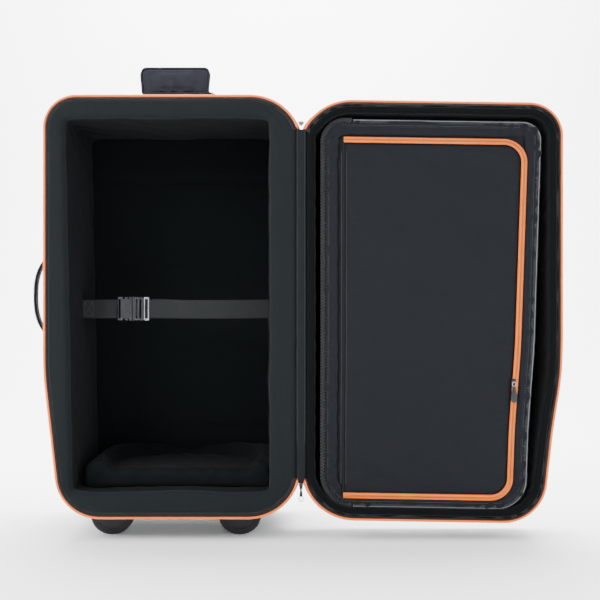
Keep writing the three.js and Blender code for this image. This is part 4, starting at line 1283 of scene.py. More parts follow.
def box_stitch(name, centre_u, lift, width, height):
    """A stitched box with a cross, on the front of the strap."""
    w, h = width / 2, height / 2
    runs = [[(-w, -h), (w, -h), (w, h), (-w, h), (-w, -h)], [(-w, -h), (w, h)], [(-w, h), (w, -h)]]
    pieces = []
    for number, run in enumerate(runs):
        path = [tuple(in_bay(centre_u + a, -lift, b)) for a, b in run]
        pieces.append(stitches(f"{name}_{number}", path, THREAD, pitch=0.0032, radius=0.0004))
    return join(name, pieces)


anchored_low, anchored_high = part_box("strap_anchored")
running_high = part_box("strap_running")[1]
plug_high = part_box("buckle_plug")[1]
anchor_u, anchored_end = from_hinge(anchored_low.x), from_hinge(anchored_high.x)
plug_u, running_end = from_hinge(plug_high.x), from_hinge(running_high.x)

anchored = strap_band("strap_anchored_web", anchor_u + 0.004, anchored_end - 0.004,
                      STRAP_WIDTH, STRAP_THICKNESS, 0.0012, 1)
finish_piece(anchored, "base", ["strap_anchored"])
turned = strap_band("strap_turned_end", anchor_u - 0.030, anchored_end - 0.001,
                    0.036, STRAP_THICKNESS, -0.0024, 2)
finish_piece(turned, "base")
sewn = box_stitch("strap_box_stitch", anchor_u - 0.018, 0.0034, 0.018, 0.028)
finish_piece(sewn, "base")
running = strap_band("strap_running_web", plug_u + 0.004, running_end - 0.004,
                     STRAP_WIDTH, STRAP_THICKNESS, 0.0030, 3)
finish_piece(running, "base", ["strap_running"])
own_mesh(running)
tail = strap_band("strap_tail", plug_u + 0.001, plug_u - 0.062, 0.037, 0.0024, -0.0046, 4)
finish_piece(tail, "buckle_plug")
tab = block("strap_tail_end", in_bay(plug_u - 0.061, 0.0008, -0.0187), in_bay(plug_u - 0.073, 0.0052, 0.0187),
            HANDLE_WEBBING, 0.0018)
finish_piece(tab, "buckle_plug")


# ---- Side-release buckle ----

THROUGH = 0.02


def strap_block(name, u0, u1, width, v_low, v_high, material, radius=0.0015, cuts=None, z_shift=0.0):
    """A moulded block centred on the strap, between two distances from the hinge."""
    low = in_bay(max(u0, u1), v_low, z_shift - width / 2)
    high = in_bay(min(u0, u1), v_high, z_shift + width / 2)
    return block(name, low, high, material, radius, cuts=cuts)


def strap_cut(u_far, u_near, half_height, half_depth=THROUGH, z_shift=0.0):
    """The corners of a cut that is centred on the strap; it goes right through unless given a depth."""
    return (in_bay(u_far, -half_depth, z_shift - half_height),
            in_bay(u_near, half_depth, z_shift + half_height))


def make_socket(free, mouth):
    """The socket: a waisted shell with an open mouth, thumb ribs and a brow over the mouth."""
    half, width = 0.006, 0.050
    waist = [strap_cut(mouth + 0.020, mouth + 0.007, 0.0104, z_shift=s * 0.0305 - 0.0001) for s in (-1, 1)]
    mouth_cut = strap_cut(mouth + 0.024, mouth - 0.004, 0.0215, 0.0034)
    slot_cut = strap_cut(free - 0.0035, free - 0.0075, 0.0195)
    cuts = [*waist, mouth_cut, slot_cut]
    parts = [strap_block("socket_body", free, mouth, width, -half, half, BUCKLE, 0.0034, cuts)]
    for k in range(3):
        u = mouth + 0.0045 + 0.0042 * k
        parts.append(strap_block(f"socket_rib_{k}", u, u + 0.0016, 0.024 - 0.004 * k, -half - 0.0007,
                                 -half + 0.001, BUCKLE, 0.0006))
    parts.append(strap_block("socket_brow", mouth, mouth + 0.0024, width, -half - 0.0008, half + 0.0006,
                             BUCKLE, 0.0011, [mouth_cut]))
    return join("buckle_socket_moulding", parts)


def make_plug(face, end):
    """The plug: a frame with two webbing slots, a collar, a tongue and two sprung arms with thumb pads."""
    windows = [strap_cut(end + far, end + near, 0.0195) for far, near in ((0.0085, 0.0045), (0.0155, 0.0125))]
    parts = [
        strap_block("plug_frame", face, end, 0.049, -0.0055, 0.0055, BUCKLE, 0.0028, windows),
        strap_block("plug_collar", face - 0.0001, face - 0.0034, 0.050, -0.0064, 0.0062, BUCKLE, 0.0014),
        strap_block("plug_tongue", face + 0.0225, face - 0.001, 0.009, -0.0024, 0.0024, BUCKLE, 0.0012),
    ]
    for s in (-1, 1):
        parts.append(strap_block(f"plug_prong_{s}", face + 0.0200, face - 0.001, 0.0052, -0.0026, 0.0026,
                                 BUCKLE, 0.0014, z_shift=s * 0.0172))
        parts.append(strap_block(f"plug_press_{s}", face + 0.0180, face + 0.0088, 0.0066, -0.0044, 0.0044,
                                 BUCKLE, 0.0022, z_shift=s * 0.0212))
    for k in range(4):
        u = face - 0.0048 - 0.0015 * k
        parts.append(strap_block(f"plug_rib_{k}", u, u - 0.0007, 0.030, -0.0060, -0.005, BUCKLE, 0.0003))
    return join("buckle_plug_moulding", parts)


def make_adjuster(far, near):
    """The bright ladder ring, with a bowed bar in front."""
    ring = strap_block("adjuster_ring", far, near, 0.0485, -0.0036, 0.0036, BRIGHT, 0.0016,
                       [strap_cut(far - 0.0026, near + 0.0026, 0.0198)])
    path = [in_bay(far - 0.0014, -0.0042 - 0.0006 * math.sin(math.pi * t), 0.0225 - 0.045 * t)
            for t in np.linspace(0, 1, 24)]
    bar = tube("adjuster_bar", path, 0.0017, BRIGHT, sides=12, up=(0, 1, 0))
    return join("strap_adjuster_ring", [ring, bar])


def make_buckle():
    low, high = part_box("buckle_socket")
    free, mouth = from_hinge(low.x), from_hinge(high.x)
    finish_piece(make_socket(free, mouth), "base", ["buckle_socket"])
    finish_piece(make_plug(mouth - 0.0004, plug_u), "buckle_plug", ["buckle_plug"])
    low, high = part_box("strap_adjuster")
    adjuster = make_adjuster(from_hinge(low.x), from_hinge(high.x))
    finish_piece(adjuster, "buckle_plug", ["strap_adjuster"])


make_buckle()


# ---- Carry handles ----

HANDLE_RISE = {"top_handle": 0.025, "side_handle": 0.042}
LUG_RADIUS, BAND, HANDLE_HALF = 0.0035, 0.005, 0.095


def make_handle(node_name, body, vertical):
    """A padded webbing grip between two moulded anchors. Built along s and rising by h from its pivot."""
    low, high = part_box(node_name)
    depth = (low.y + high.y) / 2
    rise = HANDLE_RISE[node_name]

    def spot(s, h, y=0.0):
        if vertical:
            return high.x - LUG_RADIUS - h, depth + y, (low.z + high.z) / 2 + s
        return (low.x + high.x) / 2 + s, depth + y, low.z + LUG_RADIUS + h

    half = HANDLE_HALF - BAND / 2 - 0.0014
    peak = rise - BAND / 2
    fullness = 2.6 if vertical else 4.5
    steps = np.sin(np.linspace(-1, 1, 120) * math.pi / 2)
    line = even([(half * t, peak * (1 - abs(t) ** fullness) ** (1 / 1.25)) for t in steps], 0.0035)
    path = np.array([spot(s, h) for s, h in line])
    share = np.abs(line[:, 0]) / half
    width = 0.0075 + 0.0055 * smooth(1.02, 0.86, share)
    tangent = np.gradient(path, axis=0)
    tangent /= np.linalg.norm(tangent, axis=1)[:, None]
    sidewise = np.array([0.0, 1.0, 0.0])
    over = np.cross(tangent, sidewise)
    thick = 0.0024 + 0.0007 * smooth(0.9, 0.6, share)
    rings = [path + sidewise * (width * c)[:, None] + over * (thick * s)[:, None]
             for c, s in oval(24, 0.5, 0.7)]
    points = np.stack(rings, 1)
    band = fix_normals(grid(node_name + "_webbing", points, HANDLE_WEBBING, close_cols=True, caps=True))
    finish_piece(band, body, [node_name])
    for edge in (-1, 1):
        row = [spot(s, h + 0.0034, edge * 0.0092) for s, h in line[8:-8]]
        up = (-1, 0, 0) if vertical else (0, 0, 1)
        way = "front" if edge < 0 else "back"
        sewn = stitches(f"{node_name}_stitching_{way}", row, THREAD, pitch=0.005, up=up)
        finish_piece(sewn, body)
    for end in (-1, 1):
        pin = [spot(end * s, 0) for s in np.linspace(0.089, 0.1065, 8)]
        where = "low" if end < 0 else "high"
        lug = tube(f"{node_name}_pin_{where}", pin, 0.0033, BRIGHT, sides=14, up=(0, 1, 0))
        finish_piece(lug, body)


make_handle("top_handle", "top_handle", False)
make_handle("side_handle", "side_handle", True)


def make_anchor(node_name, vertical):
    """A moulded saddle with a sewn flange and two rivets."""
    low, high = box_of(node_name)
    middle = (low + high) / 2
    parts = []
    if vertical:
        flange_low, flange_high = low - (0.0, 0.004, 0.005), high + (0.0, 0.004, 0.005)
        flange_low[0] = high[0] - 0.0034
        hump_low, hump_high = low + (0.0004, 0.006, 0.002), high - (0.001, 0.006, 0.002)
    else:
        flange_low, flange_high = low - (0.005, 0.004, 0.0), high + (0.005, 0.004, 0.0)
        flange_high[2] = low[2] + 0.0034
        hump_low, hump_high = low + (0.002, 0.006, 0.001), high - (0.002, 0.006, 0.0004)
    parts.append(block(node_name + "_flange", flange_low, flange_high, PLASTIC, 0.0015, 3))
    parts.append(block(node_name + "_hump", hump_low, hump_high, PLASTIC, 0.0042, 4))
    for way in (-1, 1):
        centre = middle.copy()
        centre[1] += way * 0.0145
        if vertical:
            centre[0] = flange_low[0]
            path = [centre + (0.001, 0, 0), centre - (0.0008, 0, 0), centre - (0.0016, 0, 0)]
        else:
            centre[2] = flange_high[2]
            path = [centre - (0, 0, 0.001), centre + (0, 0, 0.0008), centre + (0, 0, 0.0016)]
        parts.append(tube(f"{node_name}_rivet_{way}", path, [0.0034, 0.0034, 0.0018], BRIGHT, sides=14,
                          up=(0, 1, 0)))
    piece = join(node_name + "_saddle", parts)
    finish_piece(piece, "base", [node_name])


for name in ("top_handle_anchor_free", "top_handle_anchor_hinge"):
    make_anchor(name, False)
for name in ("side_handle_anchor_lower", "side_handle_anchor_upper"):
    make_anchor(name, True)


def make_wrap():
    """The padded cuff that closes round the top handle, standing up here: quilted faces and a bound edge."""
    low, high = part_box("top_handle_wrap")
    x0, x1, z0, z1 = low.x, high.x, low.z - 0.004, high.z
    middle = (low.y + high.y) / 2

    def edge_shape(inset):
        waist, top = 0.0035, 0.0045
        corners = [(x0 + inset + waist, z0), (x1 - inset - waist, z0), (x1 - inset, z1 - 0.015),
                   (x1 - inset - top, z1 - inset), (x0 + inset + top, z1 - inset), (x0 + inset, z1 - 0.015)]
        radii = (0.002, 0.002, 0.010, 0.0085, 0.0085, 0.010)
        line = []
        for k in range(6):
            line += corner(corners[k - 1], corners[k], corners[(k + 1) % 6], radii[k], 0.2)
        return even(line, 0.0024, closed=True)

    rim = edge_shape(0.0022)
    centre = np.array([(x0 + x1) / 2, (z0 + z1) / 2])
    count = 15

    def face(direction):
        points = []
        for k in range(count):
            share = k / count
            ring = (rim - centre) * (1 - share) + centre
            swell = 0.0031 * (1 - (1 - share) ** 3.0)
            y = np.full(len(ring), middle + direction * (0.0006 + swell))
            points.append(np.stack([ring[:, 0], y, ring[:, 1]], 1))
        return np.stack(points, 0)

    front, back = face(-1), face(1)
    stack = np.concatenate([front[::-1], back], 0)
    sign = np.concatenate([-np.ones(count), np.ones(count)])[:, None]
    inwards = np.concatenate([np.arange(count)[::-1], np.arange(count)])[:, None] / count
    inner = smooth(0.0, 0.12, inwards)
    lower = smooth(z1 - 0.012, z0 + 0.006, stack[..., 2])
    centred = bump(stack[..., 0], (x0 + x1) / 2, 0.034)
    wrinkle = 0.0019 * centred * lower * cloth_folds(stack, (1, 0, 0.12), 0.030, 91, 0.5)
    wrinkle = wrinkle + 0.0009 * cloth_noise(stack, 0.035, 92)
    border = 0.0014 * bump(inwards, 0.34, 0.07)
    stack[..., 1] += inner * (wrinkle - sign * border)
    wrap = close_holes(grid("handle_wrap_pad", stack, WRAP_CLOTH, close_cols=True))
    wrap = inflate(wrap, 0.0022, 0.0014)
    finish_piece(wrap, "handle_wrap", ["top_handle_wrap"])
    bound = np.stack([rim[:, 0], np.full(len(rim), middle), rim[:, 1]], 1)
    binding = tube("handle_wrap_binding", bound, 0.0026, WRAP_CLOTH, sides=10, closed=True, flat=1.25,
                   power=2.8)
    finish_piece(binding, "handle_wrap")
    inner_row = edge_shape(0.0068)
    upper = inner_row[inner_row[:, 1] > z0 + 0.004]
    start = int(np.argmax(np.linalg.norm(np.diff(upper, axis=0), axis=1))) + 1
    upper = np.roll(upper, -start, 0)
    row = [(x, middle - 0.0032, z) for x, z in upper]
    sewn = stitches("handle_wrap_stitching", row, THREAD, pitch=0.0038, radius=0.00035)
    finish_piece(sewn, "handle_wrap")


make_wrap()


# ---- Pull-out trolley ----

def make_bezel():
    """The moulded plate that the tubes come out of, with a raised rim."""
    low, high = box_of("trolley_bezel")
    wells = []
    for tube_name in ("trolley_outer_tube_free", "trolley_outer_tube_hinge"):
        a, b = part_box(tube_name)
        wells.append(((a.x - 0.0012, a.y - 0.0012, low[2] - 0.02),
                      (b.x + 0.0012, b.y + 0.0012, high[2] + 0.02)))
    plate = block("bezel_plate", low, high - (0, 0, 0.0035), PLASTIC, 0.0022, 4, wells)
    ring_wells = wells + [(low + (0.009, 0.007, -0.02), high - (0.009, 0.007, -0.02))]
    rim = block("bezel_rim", low + (0.003, 0.002, 0.003), high - (0.003, 0.002, 0), PLASTIC, 0.0016, 4,
                ring_wells)
    finish_piece(join("trolley_bezel_moulding", [plate, rim]), "base", ["trolley_bezel"])


def make_grip():
    """The palm grip: a squared bar with finger dips below, a seam near each end and a button well."""
    low, high = box_of("trolley_grip")
    middle = (low + high) / 2
    half_x, half_y, half_z = (high - low) / 2
    sections = []
    for s in np.linspace(-1, 1, 90):
        x = middle[0] + s * half_x
        end = min(1.0, (1 - abs(s)) * half_x / 0.009)
        full = max(0.05, math.sqrt(max(0.0, 1 - (1 - end) ** 2)))
        palm = 1 - 0.16 * math.exp(-((s / 0.62) ** 6))
        fingers = 0.0009 * math.cos(s * half_x / 0.024 * 2 * math.pi) * math.exp(-((s / 0.55) ** 8))
        ring = []
        for c, d in oval(36, 0.6, 0.55):
            z = half_z * full * d
            if d < 0:
                z += fingers * abs(d) ** (1 / 0.55)
            ring.append((x, middle[1] + half_y * palm * full * c, middle[2] + z))
        sections.append(ring)
    grip = fix_normals(grid("grip_body", np.array(sections), PLASTIC, close_cols=True, caps=True))
    button_low, button_high = box_of("trolley_button")
    well = (button_low - (0.0008, 0.0008, 0.0036), button_high + (0.0008, 0.0008, 0.02))
    carve(grip, [well])
    crisp(grip)
    finish_piece(grip, "trolley", ["trolley_grip"])
    seams = []
    for s in (-1, 1):
        x = middle[0] + s * half_x * 0.80
        path = [(x, middle[1] + 0.99 * half_y * c, middle[2] + 0.99 * half_z * d)
                for c, d in oval(39, 0.6, 0.55)]
        seams.append(tube(f"grip_seam_{s}", path, 0.0006, ZIP_BLACK, sides=6, closed=True, up=(1, 0, 0)))
    finish_piece(join("grip_seams", seams), "trolley")


def make_button():
    low, high = box_of("trolley_button")
    button = [block("button_cap", low, high, HUB, 0.0016, 4)]
    for k in range(-3, 4):
        x = (low[0] + high[0]) / 2 + 0.0042 * k
        button.append(block(f"button_rib_{k}", (x - 0.0007, low[1] + 0.0016, high[2] - 0.0005),
                            (x + 0.0007, high[1] - 0.0016, high[2] + 0.0005), HUB, 0.0003, 2))
    finish_piece(join("trolley_button_cap", button), "trolley_button", ["trolley_button"])


make_bezel()
make_grip()
make_button()


# ---- Feet ----

def make_foot(node_name):
    """A thick half-round rubber foot with a moulded rim and a ribbed tread."""
    low, high = box_of(node_name)
    middle_x, half_x, top = (low[0] + high[0]) / 2, (high[0] - low[0]) / 2, high[2]
    drop = top - low[2]
    depth = high[1] - low[1]
    around = np.linspace(0, math.pi, 61)
    rows = []
    for v, shrink in ((0.0, 0.004), (0.0012, 0.0012), (0.0034, 0.0), (depth * 0.25, 0.0),
                      (depth * 0.5, -0.0003), (depth * 0.75, 0.0), (depth - 0.0034, 0.0),
                      (depth - 0.0012, 0.0012), (depth, 0.004)):
        line = []
        for a in around:
            tread = 0.0009 * (0.5 + 0.5 * math.cos(a * 34)) if 0.003 < v < depth - 0.003 else 0.0
            r = 1 - (shrink + tread) / half_x
            x = middle_x - half_x * r * math.copysign(abs(math.cos(a)) ** 0.94, math.cos(a))
            z = top - 0.0005 - (drop - 0.0005) * r * math.sin(a) ** 0.94
            line.append((x, low[1] + v, z))
        rows.append(line)
    skin = grid("foot_skin", np.array(rows), FOOT_RUBBER, close_cols=True, caps=True)
    parts = [fix_normals(skin)]
    for inset in (0.0065, 0.0115):
        path = []
        for a in np.linspace(0.03, math.pi - 0.03, 50):
            z = top - 0.002 - (drop - inset - 0.002) * math.sin(a)
            path.append((middle_x - (half_x - inset) * math.cos(a), low[1] + 0.0001, z))
        parts.append(tube(f"foot_ridge_{inset}", path, 0.0011, FOOT_RUBBER, sides=8, up=(0, 1, 0)))
    plate_low, plate_high = (low[0] - 0.002, low[1] - 0.001, top - 0.0022), high + (0.002, 0.001, 0.0006)
    parts.append(block("foot_plate", plate_low, plate_high, PLASTIC, 0.0010, 3))
    piece = join(node_name + "_moulding", parts)
    finish_piece(crisp(piece, 50), "base", [node_name])


make_foot("front_foot_free")
make_foot("front_foot_hinge")


# ---- Wheels ----

def spun(name, centre, profile, material, segments=96, ripple=None):
    """A ring turned about the X axis through (x offset, radius) points; ripple changes the radius."""
    rows = []
    for a in np.arange(segments) * 2 * math.pi / segments:
        row = []
        for x, radius in profile:
            r = ripple(a, radius) if ripple else radius
            row.append((centre[0] + x, centre[1] + r * math.cos(a), centre[2] + r * math.sin(a)))
        rows.append(row)
    return fix_normals(grid(name, np.array(rows), material, close_rows=True, close_cols=True))


def make_wheel(end):
    """A ribbed tyre on a spoked hub."""
    tyre_low, tyre_high = box_of("tyre_" + end)
    hub_low, hub_high = box_of("wheel_hub_" + end)
    centre = (tyre_low + tyre_high) / 2
    half, outer = (tyre_high[0] - tyre_low[0]) / 2, (tyre_high[2] - tyre_low[2]) / 2
    hub_r, hub_half = (hub_high[2] - hub_low[2]) / 2, (hub_high[0] - hub_low[0]) / 2
    seat = hub_r - 0.0003
    profile = [(-half + 0.0006, seat), (-half, seat + 0.0012), (-half, outer - 0.0038),
               (-half + 0.0012, outer - 0.0014)]
    for t in np.linspace(-1, 1, 13):
        groove = 0.0010 * (math.exp(-(((t - 0.35) / 0.07) ** 2)) + math.exp(-(((t + 0.35) / 0.07) ** 2)))
        profile.append((t * (half - 0.0034), outer - 0.0001 - 0.0006 * t * t - groove))
    profile += [(half - 0.0012, outer - 0.0014), (half, outer - 0.0038), (half, seat + 0.0012),
                (half - 0.0006, seat)]

    def tread(angle, radius):
        if radius > outer - 0.0022:
            radius -= 0.0005 * (0.5 + 0.5 * math.cos(angle * 40))
        return radius

    tyre = spun("tyre_ring", centre, profile, TYRE_RUBBER, 240, tread)
    finish_piece(tyre, "wheel_" + end, ["tyre_" + end])
    rim = [(-hub_half, seat), (-hub_half - 0.0004, seat - 0.0014), (-hub_half, seat - 0.0042),
           (-hub_half + 0.0034, seat - 0.0052), (0, seat - 0.0056), (hub_half - 0.0034, seat - 0.0052),
           (hub_half, seat - 0.0042), (hub_half + 0.0004, seat - 0.0014), (hub_half, seat)]
    parts = [spun("hub_rim", centre, rim, HUB)]
    bore = 0.0052
    boss = [(-hub_half, bore), (-hub_half, 0.0085), (-hub_half + 0.0012, 0.0096), (0, 0.0102),
            (hub_half - 0.0012, 0.0096), (hub_half, 0.0085), (hub_half, bore)]
    parts.append(spun("hub_boss", centre, boss, HUB, 64))
    web = [(-0.0018, 0.0095), (-0.0018, seat - 0.0045), (0.0018, seat - 0.0045), (0.0018, 0.0095)]
    parts.append(spun("hub_web", centre, web, HUB, 64))
    for k in range(6):
        a = k * math.pi / 3
        reach = np.linspace(0.0085, seat - 0.0042, 8)
        path = [centre + np.array((0, r * math.cos(a), r * math.sin(a))) for r in reach]
        widths = [0.0046, 0.0038, 0.0034, 0.0032, 0.0032, 0.0034, 0.0040, 0.0050]
        flat = hub_half / widths[0] * 0.82
        parts.append(tube(f"hub_spoke_{k}", path, widths, HUB, sides=16, up=(1, 0, 0), flat=flat, power=3.0))
    finish_piece(join("wheel_hub_" + end + "_moulding", parts), "wheel_" + end,
                 ["wheel_hub_" + end])


make_wheel("free")
make_wheel("hinge")


def make_well_frame(end, low, high):
    """A moulded lip round the opening of a wheel well, on the back panel and under the bottom."""
    back, bottom, lip = RIM_Y + BASE_DEPTH, CASE_BOTTOM, 0.006
    x0, x1 = low.x - lip / 2, high.x + lip / 2
    top, near = high.z + lip / 2, low.y - lip / 2
    face = back + 0.0012
    half = [(near, bottom), (face - 0.012, bottom), (face, bottom + 0.013), (face, top)]
    path = [(x0, y, z) for y, z in half] + [(x1, y, z) for y, z in half[::-1]]
    line = even(path, 0.0035, closed=True)
    lip_ring = tube("wheel_well_lip_" + end, line, 0.0031, PLASTIC, sides=10, closed=True,
                    up=(0.02, 0.7, -0.7))
    finish_piece(lip_ring, "base")


for (low, high), end in zip(HOUSING, ("free", "hinge")):
    make_well_frame(end, low, high)


# ---- Zipper stop, sliders and pulls ----

def make_stop():
    """The silver sleeve over the zippers' start, pinched at its top in the upper notch."""
    low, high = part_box("zip_top_stop")
    rows = []
    for t in np.linspace(0, 1, 30):
        z = low.z + (high.z - low.z) * t
        w = 0.0031 + 0.0027 * float(smooth(0.1, 0.6, t))
        close = math.sqrt(max(0.0, 1 - max(0.0, (t - 0.72) / 0.28) ** 2)) if t > 0.72 else 1.0
        close = max(close, 0.10) * (0.86 + 0.14 * float(smooth(0, 0.06, t)))
        squeeze = 1 - 0.25 * bump(t, 0.30, 0.07) - 0.2 * bump(t, 0.52, 0.05)
        deep = 0.0034 * close * squeeze
        rows.append([(HINGE_X + w * close * c, RIM_Y + 0.0002 + deep * s, z) for c, s in oval(24, 1.0, 0.8)])
    stop = fix_normals(grid("zip_stop_sleeve", np.array(rows), ZINC, close_cols=True, caps=True))
    finish_piece(stop, "base", ["zip_top_stop"])


def make_slider(name, node_name, body):
    """A coil-zipper slider that runs up and down: a pear-shaped body with a raised bridge."""
    low, high = box_of(node_name)
    middle = (low + high) / 2
    width, deep, length = high - low
    rows = []
    for t in np.linspace(-1, 1, 26):
        w = width / 2 * (0.70 + 0.30 * float(smooth(-0.9, 0.5, t))) * math.sqrt(max(0.02, 1 - abs(t) ** 5))
        d = deep * 0.36 * math.sqrt(max(0.02, 1 - abs(t) ** 6))
        rows.append([middle + (w * c, d * s + deep * 0.12, t * length / 2) for c, s in oval(24, 0.6, 0.6)])
    parts = [fix_normals(grid("slider_shell", np.array(rows), ZIP_BLACK, close_cols=True, caps=True))]
    arch = []
    for t in np.linspace(0, 1, 14):
        y = low[1] + deep * 0.34 - math.sin(math.pi * t) * deep * 0.26
        arch.append((middle[0], y, middle[2] + (2 * t - 1) * length * 0.34))
    parts.append(tube("slider_bridge", arch, 0.0011, ZIP_BLACK, sides=10, up=(1, 0, 0), flat=1.5))
    finish_piece(join(name, parts), body, [node_name])


def pull_ring(middle, height, radius, squash, thickness, count):
    """A bright wire ring that looks forwards, a little narrower than it is high."""
    circle = [(middle[0] + radius * squash * c, middle[1], height + radius * s) for c, s in oval(count)]
    return tube("pull_ring", circle, thickness, BRIGHT, sides=10, closed=True, up=(0, 1, 0))


def make_ring_pull(name, node_name, body):
    """A short tapered cord tab with a bright ring hanging from its end."""
    low, high = box_of(node_name)
    middle, half_w, thick = (low + high) / 2, (high[0] - low[0]) / 2, high[1] - low[1]
    ring_r = half_w - 0.0009
    ring_z = low[2] + ring_r + 0.0009
    ring = pull_ring(middle, ring_z, ring_r, 0.86, 0.0009, 40)
    path, widths = [], []
    for t in np.linspace(0, 1, 24):
        path.append((middle[0], middle[1], high[2] - 0.0004 + (ring_z + ring_r * 0.8 - high[2]) * t))
        widths.append(0.0014 + 0.0018 * float(smooth(0.05, 0.85, t)) if 0 < t < 1 else 0.0010)
    tab = tube("pull_tab", path, widths, HANDLE_WEBBING, sides=16, up=(0, 1, 0), flat=0.5 * thick / 0.0034,
               power=3.0)
    finish_piece(join(name, [ring, tab]), body, [node_name])


def make_pull(name, node_name, body):
    """A moulded pull on a bright ring: a narrow neck and a long paddle with a ribbed thumb grip."""
    low, high = box_of(node_name)
    middle = (low + high) / 2
    top, bottom, half_w = high[2], low[2], (high[0] - low[0]) / 2
    thick = high[1] - low[1]
    ring_r = 0.0042
    ring_z = top - ring_r * 0.9
    parts = [pull_ring(middle, ring_z, ring_r, 0.85, 0.00095, 32)]
    paddle_top = ring_z - ring_r * 0.55
    rows = []
    for t in np.linspace(0, 1, 44):
        z = paddle_top + (bottom - paddle_top) * t
        w = half_w * (0.52 + 0.48 * float(smooth(0.08, 0.62, t)))
        for closing in ((t - 0.86) / 0.14, (0.07 - t) / 0.07):
            w *= math.sqrt(max(0.012, 1 - max(0.0, closing) ** 2))
        d = thick * 0.5 * (0.72 + 0.28 * math.sin(math.pi * t)) * (1 if 0.02 < t < 0.97 else 0.45)
        rib = 0.10 * math.cos((t - 0.45) * 2 * math.pi / 0.07) if 0.45 < t < 0.82 else 0
        rows.append([(middle[0] + w * c, middle[1] + d * (1 + rib) * s, z) for c, s in oval(20, 0.7, 0.6)])
    parts.append(fix_normals(grid("pull_paddle", np.array(rows), ZIP_BLACK, close_cols=True, caps=True)))
    finish_piece(join(name, parts), body, [node_name])


make_stop()
make_slider("main_zip_slider_body", "main_zip_slider", "base")
make_ring_pull("main_zip_pull_tab", "main_zip_pull", "main_pull")


# ---- Lid lining ----

def make_lid_lining():
    """The thin padded walls of the lid, round all four sides."""
    outer, inner = closed_outline(0.0066, 520, 190), closed_outline(0.0254, 520, 190)
    curve = corner_share(normals_of(inner, True), 25, 0.04)
    u, v, z = wall_section(outer, inner, 0.0026, 0.1182, 0.0065, 0.0011, np.full(len(outer), 0.0022),
                           front_steps=10, wall_steps=18)
    points = place(LID, u, v, z)
    on_wall = smooth(0.006, 0.03, v)
    on_front = 1 - smooth(0.004, 0.014, v)
    amount = 0.0009 * cloth_noise(points, 0.05, 121) * (on_wall + 0.5 * on_front)
    gathers = cloth_folds(points, (1, 0.5, 0.6), 0.021, 131, 0.5)
    amount = amount + curve * 0.0013 * (on_wall + 0.6 * on_front) * gathers
    amount = amount + on_wall * 0.0008 * cloth_folds(points, (0.2, 0.4, 1), 0.043, 132, 0.7)
    return fix_normals(ring_sheet("lid_lining", points, amount, LID_LINING))


finish_piece(subdivide(make_lid_lining()), "lid", ["lid_foam_walls"])


def make_lid_back():
    """The padded lining inside the lid's back."""
    rows, columns, inset, depth = 100, 60, 0.021, 0.1180
    heights = np.linspace(CASE_BOTTOM + inset + ROW_MARGIN, CASE_TOP - inset - ROW_MARGIN, rows)
    left, right = span_at(inset, heights)
    u, z = scan_rows(left, right, heights, columns)
    points = place(LID, u, depth, z)
    dome = dome_of(rows, columns, 0.4)
    points[..., 1] -= 0.0018 * dome + 0.0008 * dome * cloth_noise(points, 0.05, 141)
    # The lid's back pad is darker inner cloth, with painted shade in its colour.
    return thicken(face_front(grid("lid_back_pad", points, SHADED_INNER_CLOTH)), 0.0045)


finish_piece(make_lid_back(), "lid", ["lid_foam_back"])


# ---- Zipped pocket in the lid ----

POCKET = [(0.0409, 0.0698), (0.4416, 0.0698), (0.4656, 0.8376), (0.0409, 0.8376)]
POCKET_RADII = [0.062, 0.059, 0.035, 0.045]
POCKET_FRONT, POCKET_BACK = 0.014, 0.1178
ZIP_DEPTH, FLAP_DEPTH, FILLER_DEPTH = 0.0134, 0.0166, 0.0185
SEAM_U, ZIP_CORNER = 0.0829, 0.040
FLAP_LOW, FLAP_HIGH = (0.4096, 0.0918), (0.4336, 0.7976)


def pocket_loop(inset, step=0.05):
    """The pocket's outline, inset metres inside it, from the lower hinge corner anticlockwise."""
    found = []
    corners = np.array(POCKET)
    for k in range(4):
        before, at, after = corners[k - 1], corners[k], corners[(k + 1) % 4]
        back, ahead = (before - at) / np.linalg.norm(before - at), (after - at) / np.linalg.norm(after - at)
        shift = (back + ahead) / abs(back[0] * ahead[1] - back[1] * ahead[0]) * inset
        moved = []
        for other, way in ((before, back), (at, None), (after, ahead)):
            moved.append(at + shift + (way * np.linalg.norm(other - at) if way is not None else 0))
        found += corner(moved[0], moved[1], moved[2], max(POCKET_RADII[k] - inset, 0.008), step)
    return np.array(found)


def zip_line(offset, count=420):
    """The zipper's U from the upper hinge side by the free side to the lower hinge side, offset inwards."""
    free_low, free_high = np.array(FLAP_LOW), np.array(FLAP_HIGH)
    lean = (free_high[0] - free_low[0]) / (free_high[1] - free_low[1])
    shift = offset * math.sqrt(1 + lean**2)
    high, low = free_high[1] - offset, free_low[1] + offset

    def free_u(z):
        return free_low[0] + lean * (z - free_low[1]) - shift

    start, upper, lower, end = (SEAM_U, high), (free_u(high), high), (free_u(low), low), (SEAM_U, low)
    radius = max(ZIP_CORNER - offset, 0.006)
    line = [start] + corner(start, upper, lower, radius) + corner(upper, lower, end, radius) + [end]
    return matched(line, count)


# The zipper's line runs clockwise, so its outer side is against normals_of
TURN = -1


def outside_zipper(uz):
    """How far points (u, z) lie outside the zipper's tape, in metres; negative within it."""
    line = zip_line(-0.0066, 500)
    facing = normals_of(line, False)
    flat = uz.reshape(-1, 2)
    found = np.empty(len(flat))
    for start in range(0, len(flat), 2000):
        part = flat[start:start + 2000]
        gap = part[:, None] - line[None]
        nearest = np.argmin((gap**2).sum(2), 1)
        rows = np.arange(len(part))
        distance = np.linalg.norm(gap[rows, nearest], axis=1)
        inside = (gap[rows, nearest] * facing[nearest]).sum(1)
        found[start:start + 2000] = np.where(inside * TURN > 0, distance, -distance)
    found[flat[:, 0] < SEAM_U - 0.006] = 0.05
    return found.reshape(uz.shape[:2])


